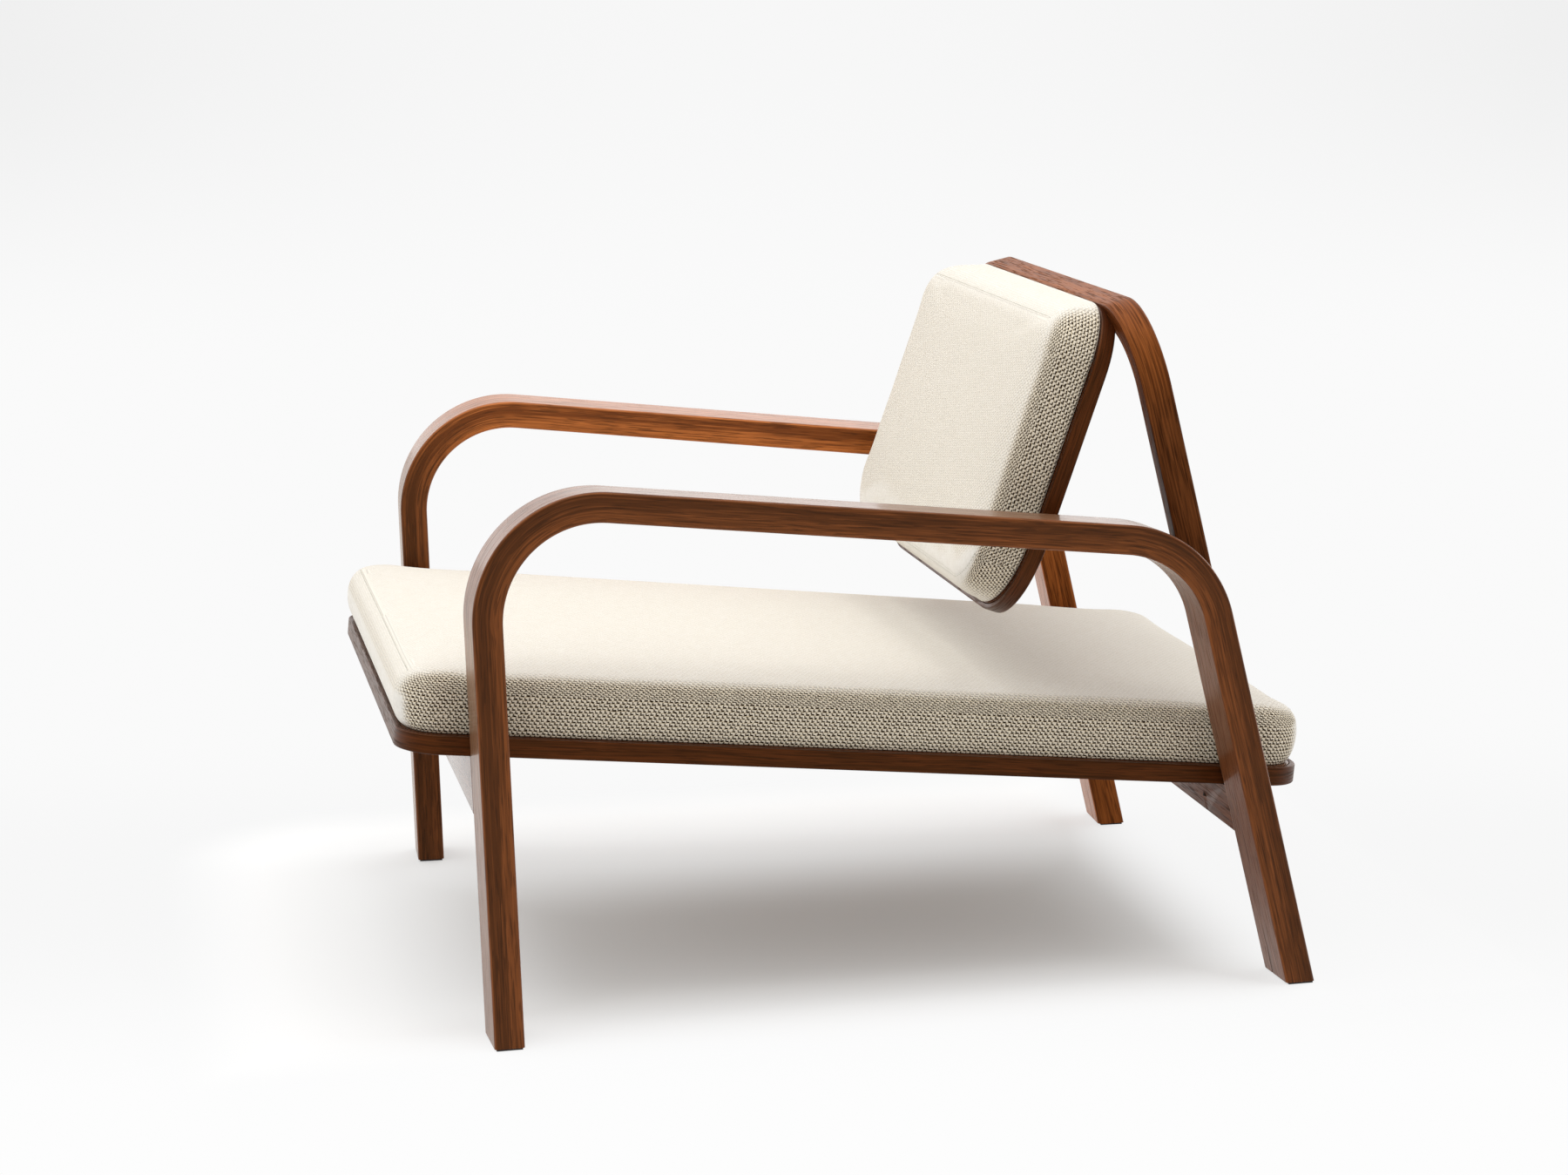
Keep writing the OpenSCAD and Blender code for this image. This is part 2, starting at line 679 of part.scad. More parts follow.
module seat_cover() {
    edge = [[turn_in, 0]];
    inner_edge = [[turn_in, cover_t]];
    outer = concat(edge, [for (i = [1:len(side_section) + 4]) pad_levels(seat_pad_t, seat_crown, 0, 0)[i]]);
    inner = concat(inner_edge, [for (i = [1:len(side_section) + 4])
        pad_levels(seat_pad_t, seat_crown, cover_t, cover_t)[i]]);
    color(cream) place_seat() translate([0, 0, pad_z])
        pad_skin([for (l = outer) seat_ring(l[0], l[1])], [for (l = inner) seat_ring(l[0], l[1])],
            lift(seat_pad_t, 1, seat_crown), cover_t);
}

module back_foam() {
    levels = pad_levels(back_pad_t, back_crown, foam_d, foam_z);
    rings = [for (l = levels) back_ring(l[0], l[1])];
    color(foam_grey) place_back() translate([0, 0, back_pad_c])
        pad_solid([for (i = [2:len(rings) - 1]) rings[i]], lift(back_pad_t, 1, back_crown) - foam_d);
}

module back_cover() {
    edge = [[turn_in, 0]];
    inner_edge = [[turn_in, cover_t]];
    outer = concat(edge, [for (i = [1:len(side_section) + 4]) pad_levels(back_pad_t, back_crown, 0, 0)[i]]);
    inner = concat(inner_edge, [for (i = [1:len(side_section) + 4])
        pad_levels(back_pad_t, back_crown, cover_t, cover_t)[i]]);
    color(cream) place_back() translate([0, 0, back_pad_c])
        pad_skin([for (l = outer) back_ring(l[0], l[1])], [for (l = inner) back_ring(l[0], l[1])],
            lift(back_pad_t, 1, back_crown), cover_t);
}

module rail_dowels() {
    color(beech) both_sides() rail_dowel_set(dowel_d, 0);
}

module hoop_dowels() {
    color(beech) both_sides() hoop_dowel_set(dowel_d - 2, 0);
}

// Pan-head wood screw: the underside of its head on z = 0, its tip pointing up
module wood_screw(len) {
    translate([0, 0, -wood_head_h]) cylinder(d = 2 * wood_screw_d, h = wood_head_h);
    cylinder(d = wood_screw_d, h = len - wood_screw_d / 2);
    translate([0, 0, len - wood_screw_d / 2])
        cylinder(d1 = wood_screw_d, d2 = wood_screw_d / 3, h = wood_screw_d / 2);
}

module seat_board_screws() {
    color(steel) for (y = [front_screw_y, rear_screw_y], x = rail_screw_x)
        place_seat() translate([x, y / cos(seat_slope), -rail_screw_grip - fit_gap])
            wood_screw(rail_screw_grip + rail_screw_bite);
}

// Pan-head screw through a board and its clearance into a pad's nut
module pad_screw(len) {
    translate([0, 0, -pad_screw_d * 0.6]) cylinder(d = pad_screw_d * 2, h = pad_screw_d * 0.6);
    cylinder(d = pad_screw_d, h = len);
}

module pad_nut() {
    difference() {
        union() {
            cylinder(d = nut_d, h = base_t);
            translate([0, 0, base_t - nut_flange_t]) cylinder(d = nut_flange_d, h = nut_flange_t);
        }
        translate([0, 0, -1]) cylinder(d = pad_screw_d + fit_gap, h = base_t + 2);
    }
}

module seat_pad_screws() {
    color(steel) place_seat() place_nuts(seat_screws)
        pad_screw(board_t + cover_t + 2 * fit_gap + base_t);
}

module seat_pad_nuts() {
    color(steel) place_seat() place_nuts(seat_screws)
        translate([0, 0, pad_z + cover_t + fit_gap]) pad_nut();
}

module back_pad_screws() {
    color(steel) place_back() place_nuts(back_screws)
        pad_screw(back_t + cover_t + 2 * fit_gap + base_t);
}

module back_pad_nuts() {
    color(steel) place_back() place_nuts(back_screws)
        translate([0, 0, back_pad_c + cover_t + fit_gap]) pad_nut();
}

module back_top_screws() {
    color(steel) place_hoop() for (x = hoop_screw_x) translate([x, bar_s, loop_t / 2 - fit_gap])
        wood_screw(loop_t / 2 + 9);
}

module back_top_plugs() {
    color(walnut_dark) place_hoop() for (x = hoop_screw_x)
        translate([x, bar_s, 0]) cylinder(d = bore_d, h = loop_t / 2 - wood_head_h - 2 * fit_gap);
}

// Side pin: thick end in the arm, collar across the gap, thin end in the back board's edge
module back_side_pins() {
    arm_x = inner_x(pin_y, pin_z);
    collar_gap = 0.8;
    color(steel) both_sides() translate([0, pin_y, pin_z]) rotate([0, 90, 0]) {
        translate([0, 0, back_w / 2 - pin_in_board]) cylinder(d = pin_d - 2, h = pin_in_board + 1);
        translate([0, 0, back_w / 2 + fit_gap])
            cylinder(d = pin_d + 4, h = arm_x - collar_gap - back_w / 2 - fit_gap);
        translate([0, 0, arm_x - collar_gap - 1]) cylinder(d = pin_d, h = pin_in_arm + collar_gap + 1);
    }
}

// Flat section of the feet just over the glides, stepped in: sitter's left, front and rear
module foot_print(inset) {
    translate([loop_half_span, 0, 0]) rotate([0, 0, loop_toe]) {
        translate([inset - loop_w, front_foot_y + inset])
            square([loop_w - 2 * inset, loop_t - 2 * inset]);
        translate([inset - loop_w, rear_foot_y - loop_t + inset])
            square([loop_w - 2 * inset, loop_t - 2 * inset]);
    }
}

module foot_glides() {
    color(rubber_black) linear_extrude(glide_t) both_sides() foot_print(glide_inset);
}

left_side_loop();
right_side_loop();
back_hoop();
front_cross_rail();
rear_cross_rail();
seat_board();
seat_board_lipping();
seat_pad_base();
seat_foam();
seat_cover();
back_board();
back_board_lipping();
back_pad_base();
back_foam();
back_cover();
rail_dowels();
hoop_dowels();
seat_board_screws();
seat_pad_screws();
seat_pad_nuts();
back_pad_screws();
back_pad_nuts();
back_top_screws();
back_top_plugs();
back_side_pins();
foot_glides();
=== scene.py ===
# %% [markdown]
# A low lounge chair, made ready to be looked at.
#
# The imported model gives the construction. This file gives each visible piece its finish, and makes
# again the pieces whose edges or cloth a plain solid can't show. We start by loading the model as a
# fixed frame. The chair's lengths are in millimetres, and become metres when a point is placed.

# %% Load the frame
from math import cos, pi, radians, sin, tan
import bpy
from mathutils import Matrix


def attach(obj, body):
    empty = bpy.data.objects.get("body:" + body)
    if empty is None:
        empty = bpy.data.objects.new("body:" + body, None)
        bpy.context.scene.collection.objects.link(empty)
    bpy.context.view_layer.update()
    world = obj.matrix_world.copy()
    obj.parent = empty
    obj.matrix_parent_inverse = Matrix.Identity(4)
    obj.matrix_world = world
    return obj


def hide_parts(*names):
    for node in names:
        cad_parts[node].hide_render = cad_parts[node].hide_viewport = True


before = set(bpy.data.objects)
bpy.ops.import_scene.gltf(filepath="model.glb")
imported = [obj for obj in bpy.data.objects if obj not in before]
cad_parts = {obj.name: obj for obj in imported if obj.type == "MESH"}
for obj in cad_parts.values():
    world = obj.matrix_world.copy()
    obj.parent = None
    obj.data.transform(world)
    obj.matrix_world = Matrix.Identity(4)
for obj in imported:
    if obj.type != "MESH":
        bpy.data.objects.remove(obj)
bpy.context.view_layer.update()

from types import SimpleNamespace

import bmesh
import bpy
import numpy as np
from mathutils import Matrix, Vector
from mathutils.bvhtree import BVHTree

scene = bpy.context.scene


def new_object(name, data):
    made = bpy.data.objects.new(name, data)
    scene.collection.objects.link(made)
    return made


print("nodes loaded:", len(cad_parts))

# %% [markdown]
# ## The camera
#
# A product photograph like this is taken with a long lens from a few metres away. The camera stands
# at the sitter's left, a little in front and above. Its place was solved from the outlines of the
# side loops, and is given by two angles, a small roll, a point to look at and a distance.

# %% Place the camera
view_turn, view_rise, view_roll = 1.3769217, 0.1836274, -0.0135610
view_aim, view_distance = Vector((0.0093998, -0.0245100, 0.3459762)), 3.6120466
photo_width, focal_pixels, sensor_width = 1800, 4128.3587, 36
back = Vector((sin(view_turn) * cos(view_rise), -cos(view_turn) * cos(view_rise), sin(view_rise)))
level_right = Vector((cos(view_turn), sin(view_turn), 0))
level_up = back.cross(level_right)
right = level_right * cos(view_roll) + level_up * sin(view_roll)
up = level_up * cos(view_roll) - level_right * sin(view_roll)
camera = new_object("camera", bpy.data.cameras.new("camera"))
camera.data.sensor_width = sensor_width
camera.data.lens = focal_pixels / photo_width * sensor_width
camera.matrix_world = Matrix.Translation(view_aim + back * view_distance) @ \
    Matrix((right, up, back)).transposed().to_4x4()
scene.camera = camera
scene.view_settings.view_transform = "Standard"
print("lens", round(camera.data.lens, 2), "mm")

# %% [markdown]
# ## Writing node trees briefly
#
# Most of a node tree is arithmetic. So each output of a node is wrapped in a small class, on which
# sums, products and powers are written as for plain numbers, and each of them adds one Math node.
# Every input takes a number, a colour or the output of another node.

# %% Nodes and arithmetic on them
def feed(socket, value):
    value = getattr(value, "socket", value)
    if isinstance(value, bpy.types.NodeSocket):
        socket.id_data.links.new(value, socket)
    else:
        socket.default_value = value


def add(tree, kind, inputs=None, **settings):
    made = tree.nodes.new(kind if "Node" in kind else "ShaderNode" + kind)
    for name, value in settings.items():
        setattr(made, name, value)
    for key, value in (inputs or {}).items():
        feed(made.inputs[key], value)
    return made


def pick(tree, kind, key=0, inputs=None, **settings):
    return Value(add(tree, kind, inputs, **settings).outputs[key])


def written(operation, swapped=False):
    def method(self, *others):
        values = (*others, self) if swapped else (self, *others)
        return pick(self.tree, "Math", 0, dict(enumerate(values)), operation=operation)
    return method


class Value:
    def __init__(self, socket):
        self.socket, self.tree = socket, socket.id_data

    __add__ = __radd__ = written("ADD")
    __mul__ = __rmul__ = written("MULTIPLY")
    __sub__, __rsub__ = written("SUBTRACT"), written("SUBTRACT", swapped=True)
    __truediv__, __rtruediv__ = written("DIVIDE"), written("DIVIDE", swapped=True)
    __pow__, __abs__ = written("POWER"), written("ABSOLUTE")
    at_least, at_most = written("MAXIMUM"), written("MINIMUM")
    floor, fract, sqrt = written("FLOOR"), written("FRACT"), written("SQRT")


# %% Other nodes that are used often
def ease(value, low, high):
    return pick(value.tree, "MapRange", 0, {0: value, 1: low, 2: high, 3: 0.0, 4: 1.0},
                interpolation_type="SMOOTHSTEP")


def mix(share, first, second):
    return pick(share.tree, "Mix", 2, {0: share, 6: first, 7: second}, data_type="RGBA")


def vector(operation, *values, output="Vector"):
    return pick(values[0].tree, "VectorMath", output, dict(enumerate(values)), operation=operation)


def stretch(place, x, y, z):
    return vector("MULTIPLY", place, (x, y, z))


def split(place):
    return [Value(part) for part in add(place.tree, "SeparateXYZ", {0: place}).outputs]


def combine(tree, x, y, z):
    return pick(tree, "CombineXYZ", 0, {0: x, 1: y, 2: z})


def noise(place, scale, detail=2.0, rough=0.5):
    return pick(place.tree, "TexNoise", 0,
                {"Vector": place, "Scale": scale, "Detail": detail, "Roughness": rough})


def object_place(tree):
    return pick(tree, "TexCoord", "Object")


def seen_by(tree, *rays):
    path = add(tree, "LightPath")
    first, *others = [Value(path.outputs[f"Is {ray} Ray"]) for ray in rays]
    return first.at_least(others[0]) if others else first


def new_group(name, ins, outs):
    # An input without a value takes a place, one with a tuple a colour, and any other a number
    tree = bpy.data.node_groups.new(name, "ShaderNodeTree")
    for label, value in ins.items():
        kind = "Vector" if value is None else "Color" if isinstance(value, tuple) else "Float"
        made = tree.interface.new_socket(label, in_out="INPUT", socket_type="NodeSocket" + kind)
        if value is not None:
            made.default_value = value
    for label in outs:
        kind = "Color" if label == "Color" else "Float"
        tree.interface.new_socket(label, in_out="OUTPUT", socket_type="NodeSocket" + kind)
    group_in, group_out = add(tree, "NodeGroupInput"), add(tree, "NodeGroupOutput")
    return tree, {label: Value(group_in.outputs[label]) for label in ins}, group_out.inputs


# %% [markdown]
# ## Light and background
#
# The light comes softly from above and from pale walls behind and beside the chair. The room behind
# the camera is dark, so the near sides of the wood stay deep brown. Each wall is a soft lobe round
# one direction. The camera itself sees only plain pale paper, chosen with Light Path.

# %% The world
world = bpy.data.worlds.new("studio")
scene.world = world
world.use_nodes = True
tree = world.node_tree
tree.nodes.clear()
direction = pick(tree, "TexCoord", "Generated")
to_camera, _, height = split(direction)
ceiling = ease(height, 0.35, 0.85)
walls = 0.0
for axis, level, dimming in (((-1, 0, 0), 1.75, 0.65), ((0, -1, 0), 1.05, 0.0), ((0, 1, 0), 1.2, 0.0)):
    toward = vector("DOT_PRODUCT", direction, axis, output="Value")
    higher = ease(height, 0.12, 0.34) * dimming
    walls = ease(toward, 0.25, 0.85) * ((1.0 - higher) * level) + walls
walls = walls * (1.0 - ease(to_camera, -0.1, 0.6)) + ease(to_camera, 0.25, 0.85) * 0.58
studio = ceiling * 1.15 + walls * (1.0 - ceiling)
paper = (0.905, 0.905, 0.905, 1)
shown = mix(seen_by(tree, "Camera", "Transmission"), combine(tree, studio, studio, studio), paper)
backdrop = add(tree, "Background", {0: shown, 1: 1.0})
add(tree, "OutputWorld", {0: backdrop.outputs[0]})


# %% The lamps
def soft_lamp(name, place, power):
    lamp = new_object(name, bpy.data.lights.new(name, "AREA"))
    lamp.data.shape = "SQUARE"
    lamp.data.size = 1.4
    lamp.data.energy = power
    lamp.location = place
    lamp.rotation_euler = (Vector() - Vector(place)).to_track_quat("-Z", "Y").to_euler()


soft_lamp("overhead", (0.7, 0, 2.5), 9)
soft_lamp("front", (0, -1.0, 2.4), 10.5)
soft_lamp("rear", (0, 1.0, 2.4), 4)
print("lamps placed")

# %% [markdown]
# ## The floor
#
# Close to the chair the floor is white paper that catches a soft shadow. For the camera only, a painted glow
# on it lightens the paper and its shadow. Further out it fades into a pale tone, but only for the camera and
# for reflections, so the light that bounces is real. That tone is brightest near the camera and falls a
# little into the distance and the corners, with a faint darker band at the sides: painted shade.

# %% Make the floor
floor_mesh = bpy.data.meshes.new("floor")
floor_mesh.from_pydata([(-60, -60, 0), (60, -60, 0), (60, 60, 0), (-60, 60, 0)], [], [(0, 1, 2, 3)])
floor = new_object("floor", floor_mesh)
floor_paper = bpy.data.materials.new("floor_paper")
floor_paper.use_nodes = True
tree = floor_paper.node_tree
tree.nodes.clear()
place = object_place(tree)
x, y, _ = split(place)

# %% Where the floor fades
beyond_feet = vector("MAXIMUM", vector("SUBTRACT", vector("ABSOLUTE", place), (0.36, 0.44, 0)), (0, 0, 0))
from_chair = vector("LENGTH", beyond_feet, output="Value")
# Painted shadow shape: the fade reaches in over the shadow, most on the camera side and a little at the far
# side, front and rear, so it trims the shadow's edges with the plain tone.
fade = ease(from_chair, 0.0, 0.22).at_least(ease(x, 0.20, 0.43))
for part, start, stop, most in ((x, -0.02, -0.32, 0.42), (abs(y), 0.22, 0.46, 0.42), (y, 0.27, 0.45, 0.95)):
    fade = fade.at_least(ease(part, start, stop) * most)

# %% The tone that it fades into
away = vector("SUBTRACT", place, (3.49, -0.71, 0))
depth = vector("DOT_PRODUCT", away, (-0.981, 0.193, 0), output="Value")
aside = vector("DOT_PRODUCT", away, (0.193, 0.981, 0), output="Value")
nearness = 1.0 / depth.at_least(0.5)
# Painted shade: the tone is darker in the distance and towards the far corners
corner = abs(aside * (nearness * 5.2)) ** 2.0
closer = ease(nearness, 0.03, 0.12)
tone = (0.93 - corner.at_most(1.2) * 0.05) * (1.0 - closer) + closer * 0.955
# Painted shade: a faint darker band across the floor at the sides, brighter again nearest the camera
tone = tone - ease(nearness, 0.225, 0.262) * 0.025 + ease(nearness, 0.275, 0.335) * 0.052
plain = add(tree, "Emission", {0: combine(tree, tone, tone, tone), 1: 1.0})
lit = add(tree, "BsdfDiffuse", {0: (0.84, 0.84, 0.84, 1)})
# Painted glow: for the camera only, a faint emission lifts the lit paper and lightens its shadow.
painted_floor_glow = add(tree, "Emission", {0: (0.133, 0.134, 0.122, 1), 1: seen_by(tree, "Camera")})
close_up = add(tree, "AddShader", {0: lit.outputs[0], 1: painted_floor_glow.outputs[0]})
share = fade * seen_by(tree, "Camera", "Glossy")
surface = add(tree, "MixShader", {0: share, 1: close_up.outputs[0], 2: plain.outputs[0]})
add(tree, "OutputMaterial", {0: surface.outputs[0]})
floor_mesh.materials.append(floor_paper)
print("floor nodes:", len(tree.nodes))

# %% [markdown]
# ## The chair's own measures
#
# The pieces made here have to lie exactly on the solids. So we repeat the driving sizes of the
# construction and work out the same points from them: the centre of each bend, the start of each
# straight run, and how each flat drawing is turned into its place.

# %% Driving sizes
loop_w, loop_t, loop_half_span = 58.4, 28.0, 361.0
front_foot_y, rear_foot_y = -369.0, 422.0
front_lean, rear_rake, arm_fall = 1.08, 12.72, 6.41
arm_top_z, front_bend_r, rear_bend_r = 477.5, 116.0, 114.0
loop_toe, loop_cant, edge_r = 2.15, 1.91, 3.0
hoop_t, hoop_len, hoop_bend_r = 24.0, 666.0, 80.0
board_l, board_front, board_t, board_z = 880.0, -445.0, 18.0, 220.0
seat_slope, board_gap, board_corner_r, lip_w = 6.01, 5.0, 40.0, 6.0
back_t, back_rake, back_side_gap, back_bite = 15.0, 19.8, 19.1, 9.03
back_top_step, back_low, back_low_r, back_top_r = 7.92, 364.5, 88.0, 60.0
glide_t, fit_gap, bore_d, bar_screw_out = 2.0, 0.2, 11.0, 140
rail_t, rear_rail_z, rail_screw_out, screw_head_z, plug_reach = 24.0, 138.0, 200.0, -29.3, 120
strip_ease, strip_hold, rail_ease = 1.5, 0.4, 1.5


# %% Points that follow from them
def heading(degrees):
    return np.array([cos(radians(degrees)), sin(radians(degrees))])


def cross(p, q):
    return p[0] * q[1] - p[1] * q[0]


def meet(p, d, q, e):
    return p + d * (cross(q - p, e) / cross(d, e))


toe, cant, rake = radians(loop_toe), radians(loop_cant), radians(rear_rake)
slope, lean_back = radians(seat_slope), radians(back_rake)
front_p, front_d, front_n = np.array([front_foot_y, 0.0]), heading(90 + front_lean), heading(front_lean)
arm_p, arm_d, arm_n = np.array([0.0, arm_top_z]), heading(-arm_fall), heading(-90 - arm_fall)
rear_p, rear_d, rear_n = np.array([rear_foot_y, 0.0]), heading(90 + rear_rake), heading(180 + rear_rake)
front_c = meet(front_p + front_n * front_bend_r, front_d, arm_p + arm_n * front_bend_r, arm_d)
rear_c = meet(arm_p + arm_n * rear_bend_r, arm_d, rear_p + rear_n * rear_bend_r, rear_d)


def inner_x(y, z):
    return loop_half_span - loop_w * cos(cant) - z * tan(cant) - y * tan(toe)


hoop_y = rear_foot_y - (loop_w - hoop_t / 2) * sin(toe)
hoop_cant = np.degrees(np.arctan(cos(rake) * (tan(cant) - tan(toe) * tan(rake))))
hoop_p = np.array([inner_x(hoop_y, 0) + hoop_t, 0.0])
hoop_d, hoop_n = heading(90 + hoop_cant), heading(180 + hoop_cant)
hoop_c = meet(hoop_p + hoop_n * hoop_bend_r, hoop_d,
              np.array([0.0, hoop_len - hoop_bend_r]), np.array([1.0, 0.0]))
board_rear = board_front + board_l
board_half = inner_x(0, board_z) - board_gap
taper = tan(toe)
back_top_z = hoop_len * cos(rake) - loop_t * sin(rake) - back_top_step
back_high = back_top_z / cos(lean_back)
back_y = hoop_y - back_top_z * tan(rake) - loop_t / cos(rake) + back_bite - back_top_z * tan(lean_back)
pin_c = back_t / 2
pin_z = meet(np.array([back_y - pin_c / cos(lean_back), 0.0]), heading(90 - back_rake),
             arm_p + arm_n * (loop_t / 2), arm_d)[1]
pin_y = back_y + pin_z * tan(lean_back) - pin_c / cos(lean_back)
back_w = 2 * (inner_x(pin_y, pin_z) - back_side_gap)
print("back board", round(back_w, 1), "x", round(back_high - back_low, 1), "mm")

# %% From a flat drawing to its place
# Each matrix turns (first, second, third) of a drawing in millimetres into metres in the room.
place_loop = np.array([
    [-sin(toe), -sin(cant) * cos(toe), cos(cant) * cos(toe), loop_half_span],
    [cos(toe), -sin(cant) * sin(toe), cos(cant) * sin(toe), 0],
    [0, cos(cant), sin(cant), 0]])
place_hoop = np.array([
    [1, 0, 0, 0], [0, -sin(rake), -cos(rake), hoop_y], [0, cos(rake), -sin(rake), 0]])
place_seat = np.array([
    [1, 0, 0, 0], [0, cos(slope), sin(slope), 0], [0, -sin(slope), cos(slope), board_z]])
place_back = np.array([
    [1, 0, 0, 0], [0, sin(lean_back), -cos(lean_back), back_y],
    [0, cos(lean_back), sin(lean_back), 0]])


def placed(drawn, matrix):
    drawn = np.asarray(drawn, float)
    return (drawn @ matrix[:, :3].T + matrix[:, 3]) * 0.001


def drawn_from(points, matrix):
    return (np.asarray(points, float) * 1000 - matrix[:, 3]) @ np.linalg.inv(matrix[:, :3]).T


# %% [markdown]
# ## Bent members with eased edges
#
# A bent lamination is one section carried along a line. A maker eases its long edges with a small
# round, and that round is what catches the light. Next to each rounded corner the section has one
# more point on the flat, which keeps the flat faces looking flat.

# %% Section and stations
def eased_section(thick, wide, easing, steps=4, hold=0.6):
    points = []
    for x, y, start in ((-easing, -easing, 0), (easing - thick, -easing, 90),
                        (easing - thick, easing - wide, 180), (-easing, easing - wide, 270)):
        corner = [np.array([x, y]) + easing * heading(start + 90 * k / steps) for k in range(steps + 1)]
        points += [corner[0] - hold * heading(start + 90), *corner, corner[-1] + hold * heading(start + 180)]
    return np.array(points)


def straight(p, q, outward, steps):
    return [(p + (q - p) * k / steps, outward) for k in range(steps + 1)]


def bend(centre, start, stop, radius, steps):
    angles = np.linspace(start, stop, steps + 1)
    return [(centre + heading(a) * radius, heading(a)) for a in angles]


def join_runs(*runs):
    stations = []
    for run in runs:
        for p, e in run:
            if not stations or np.linalg.norm(p - stations[-1][0]) > 0.01:
                stations.append((p, e))
    return stations


# The legs start below the floor, and are cut level later
under_floor = 25
loop_line = join_runs(
    straight(front_p - front_d * under_floor, front_c - front_n * front_bend_r, -front_n, 8),
    bend(front_c, 180 + front_lean, 90 - arm_fall, front_bend_r, 40),
    straight(front_c - arm_n * front_bend_r, rear_c - arm_n * rear_bend_r, -arm_n, 12),
    bend(rear_c, 90 - arm_fall, rear_rake, rear_bend_r, 30),
    straight(rear_c - rear_n * rear_bend_r, rear_p - rear_d * under_floor, -rear_n, 8))
print("stations along a side loop:", len(loop_line))


# %% Sweep a section along its stations
def make_piece(name, points, faces):
    mesh = bpy.data.meshes.new(name)
    mesh.from_pydata([tuple(p) for p in points], [], [tuple(f) for f in faces])
    work = bmesh.new()
    work.from_mesh(mesh)
    bmesh.ops.recalc_face_normals(work, faces=work.faces)
    work.to_mesh(mesh)
    work.free()
    return new_object(name, mesh)


def sweep(name, stations, section, matrix, closed=False, shift=0.0):
    n, count = len(section), len(stations)
    drawn = [(p[0] + a * e[0], p[1] + a * e[1], b + shift) for p, e in stations for a, b in section]
    faces = []
    for i in range(count if closed else count - 1):
        j = (i + 1) % count
        for k in range(n):
            m = (k + 1) % n
            faces.append((i * n + k, j * n + k, j * n + m, i * n + m))
    if not closed:
        faces += [range(n), range((count - 1) * n, count * n)]
    return make_piece(name, placed(drawn, matrix), faces)


# %% Cutting and settling
def evaluated(piece):
    return piece.evaluated_get(bpy.context.evaluated_depsgraph_get())


def settle(piece):
    finished = bpy.data.meshes.new_from_object(evaluated(piece))
    piece.modifiers.clear()
    piece.data = finished
    finished.name = piece.name


def assign(target, **settings):
    for name, value in settings.items():
        setattr(target, name, value)


def modify(piece, kind, **settings):
    assign(piece.modifiers.new(kind.lower(), kind), **settings)
    settle(piece)


def cut_away(piece, *cutters, operation="DIFFERENCE"):
    for cutter in cutters:
        modify(piece, "BOOLEAN", operation=operation, object=cutter, solver="EXACT")
        bpy.data.objects.remove(cutter)


def block(low, high, matrix):
    corners = [(x, y, z) for x in (low[0], high[0]) for y in (low[1], high[1]) for z in (low[2], high[2])]
    return make_piece("cutter", placed(corners, matrix), box_faces)


box_faces = [(0, 1, 3, 2), (4, 6, 7, 5), (0, 4, 5, 1), (2, 3, 7, 6), (0, 2, 6, 4), (1, 5, 7, 3)]


def all_below(z):
    return block((-900, -900, -200), (900, 900, z), np.eye(3, 4))


# %% [markdown]
# ## Grain that follows the bend
#
# In a bent lamination the grain runs with the member all the way round. So each point of a member
# is given its own grain place: how far along the member it lies, how far across, and how deep in
# the layers. It is found from the finished mesh, so cuts don't disturb it.

# %% Reading and keeping values of a mesh
def read(items, field, width=1, kind=float):
    found = np.empty(len(items) * width, kind)
    items.foreach_get(field, found)
    return found.reshape(-1, width) if width > 1 else found


def coordinates(mesh):
    return read(mesh.vertices, "co", 3)


def keep(mesh, name, values, kind="FLOAT", field="value"):
    stored = mesh.attributes.new(name, kind, "POINT")
    stored.data.foreach_set(field, values.astype(np.float32).ravel())


# %% Give a member its grain place
def grain_along(piece, stations, thick, matrix, side=1, offset=0.0, closed=False):
    drawn = drawn_from(coordinates(piece.data) * (side, 1, 1), matrix)
    outer, facing = np.array(stations + stations[:closed]).transpose(1, 0, 2)
    centre = outer - facing * thick / 2
    a, step = centre[:-1], centre[1:] - centre[:-1]
    lengths = np.linalg.norm(step, axis=1)
    start = np.concatenate([[0], np.cumsum(lengths)])
    to_point = drawn[:, None, :2] - a[None]
    share = np.clip((to_point * step).sum(2) / (lengths ** 2), 0, 1)
    near = ((to_point - share[..., None] * step) ** 2).sum(2).argmin(1)
    rows = np.arange(len(drawn))
    part = share[rows, near]
    along = start[near] + part * lengths[near]
    facing_here, outer_here = [ends[near] + (ends[near + 1] - ends[near]) * part[:, None]
                               for ends in (facing, outer)]
    depth = ((drawn[:, :2] - outer_here) * facing_here).sum(1)
    if closed:
        along = np.abs(along - start[-1] / 2)
    place = np.stack([along + offset, drawn[:, 2], depth], 1) * 0.001
    keep(piece.data, "grain_place", place, "FLOAT_VECTOR", "vector")


# %% [markdown]
# ## Walnut
#
# Walnut has broad growth bands, fine fibres, and short dark pores like pencil strokes along the
# grain, and the sides of a bent member also show its glued layers. The group below draws all of it
# from a grain place, in metres, whose first coordinate runs along the grain.

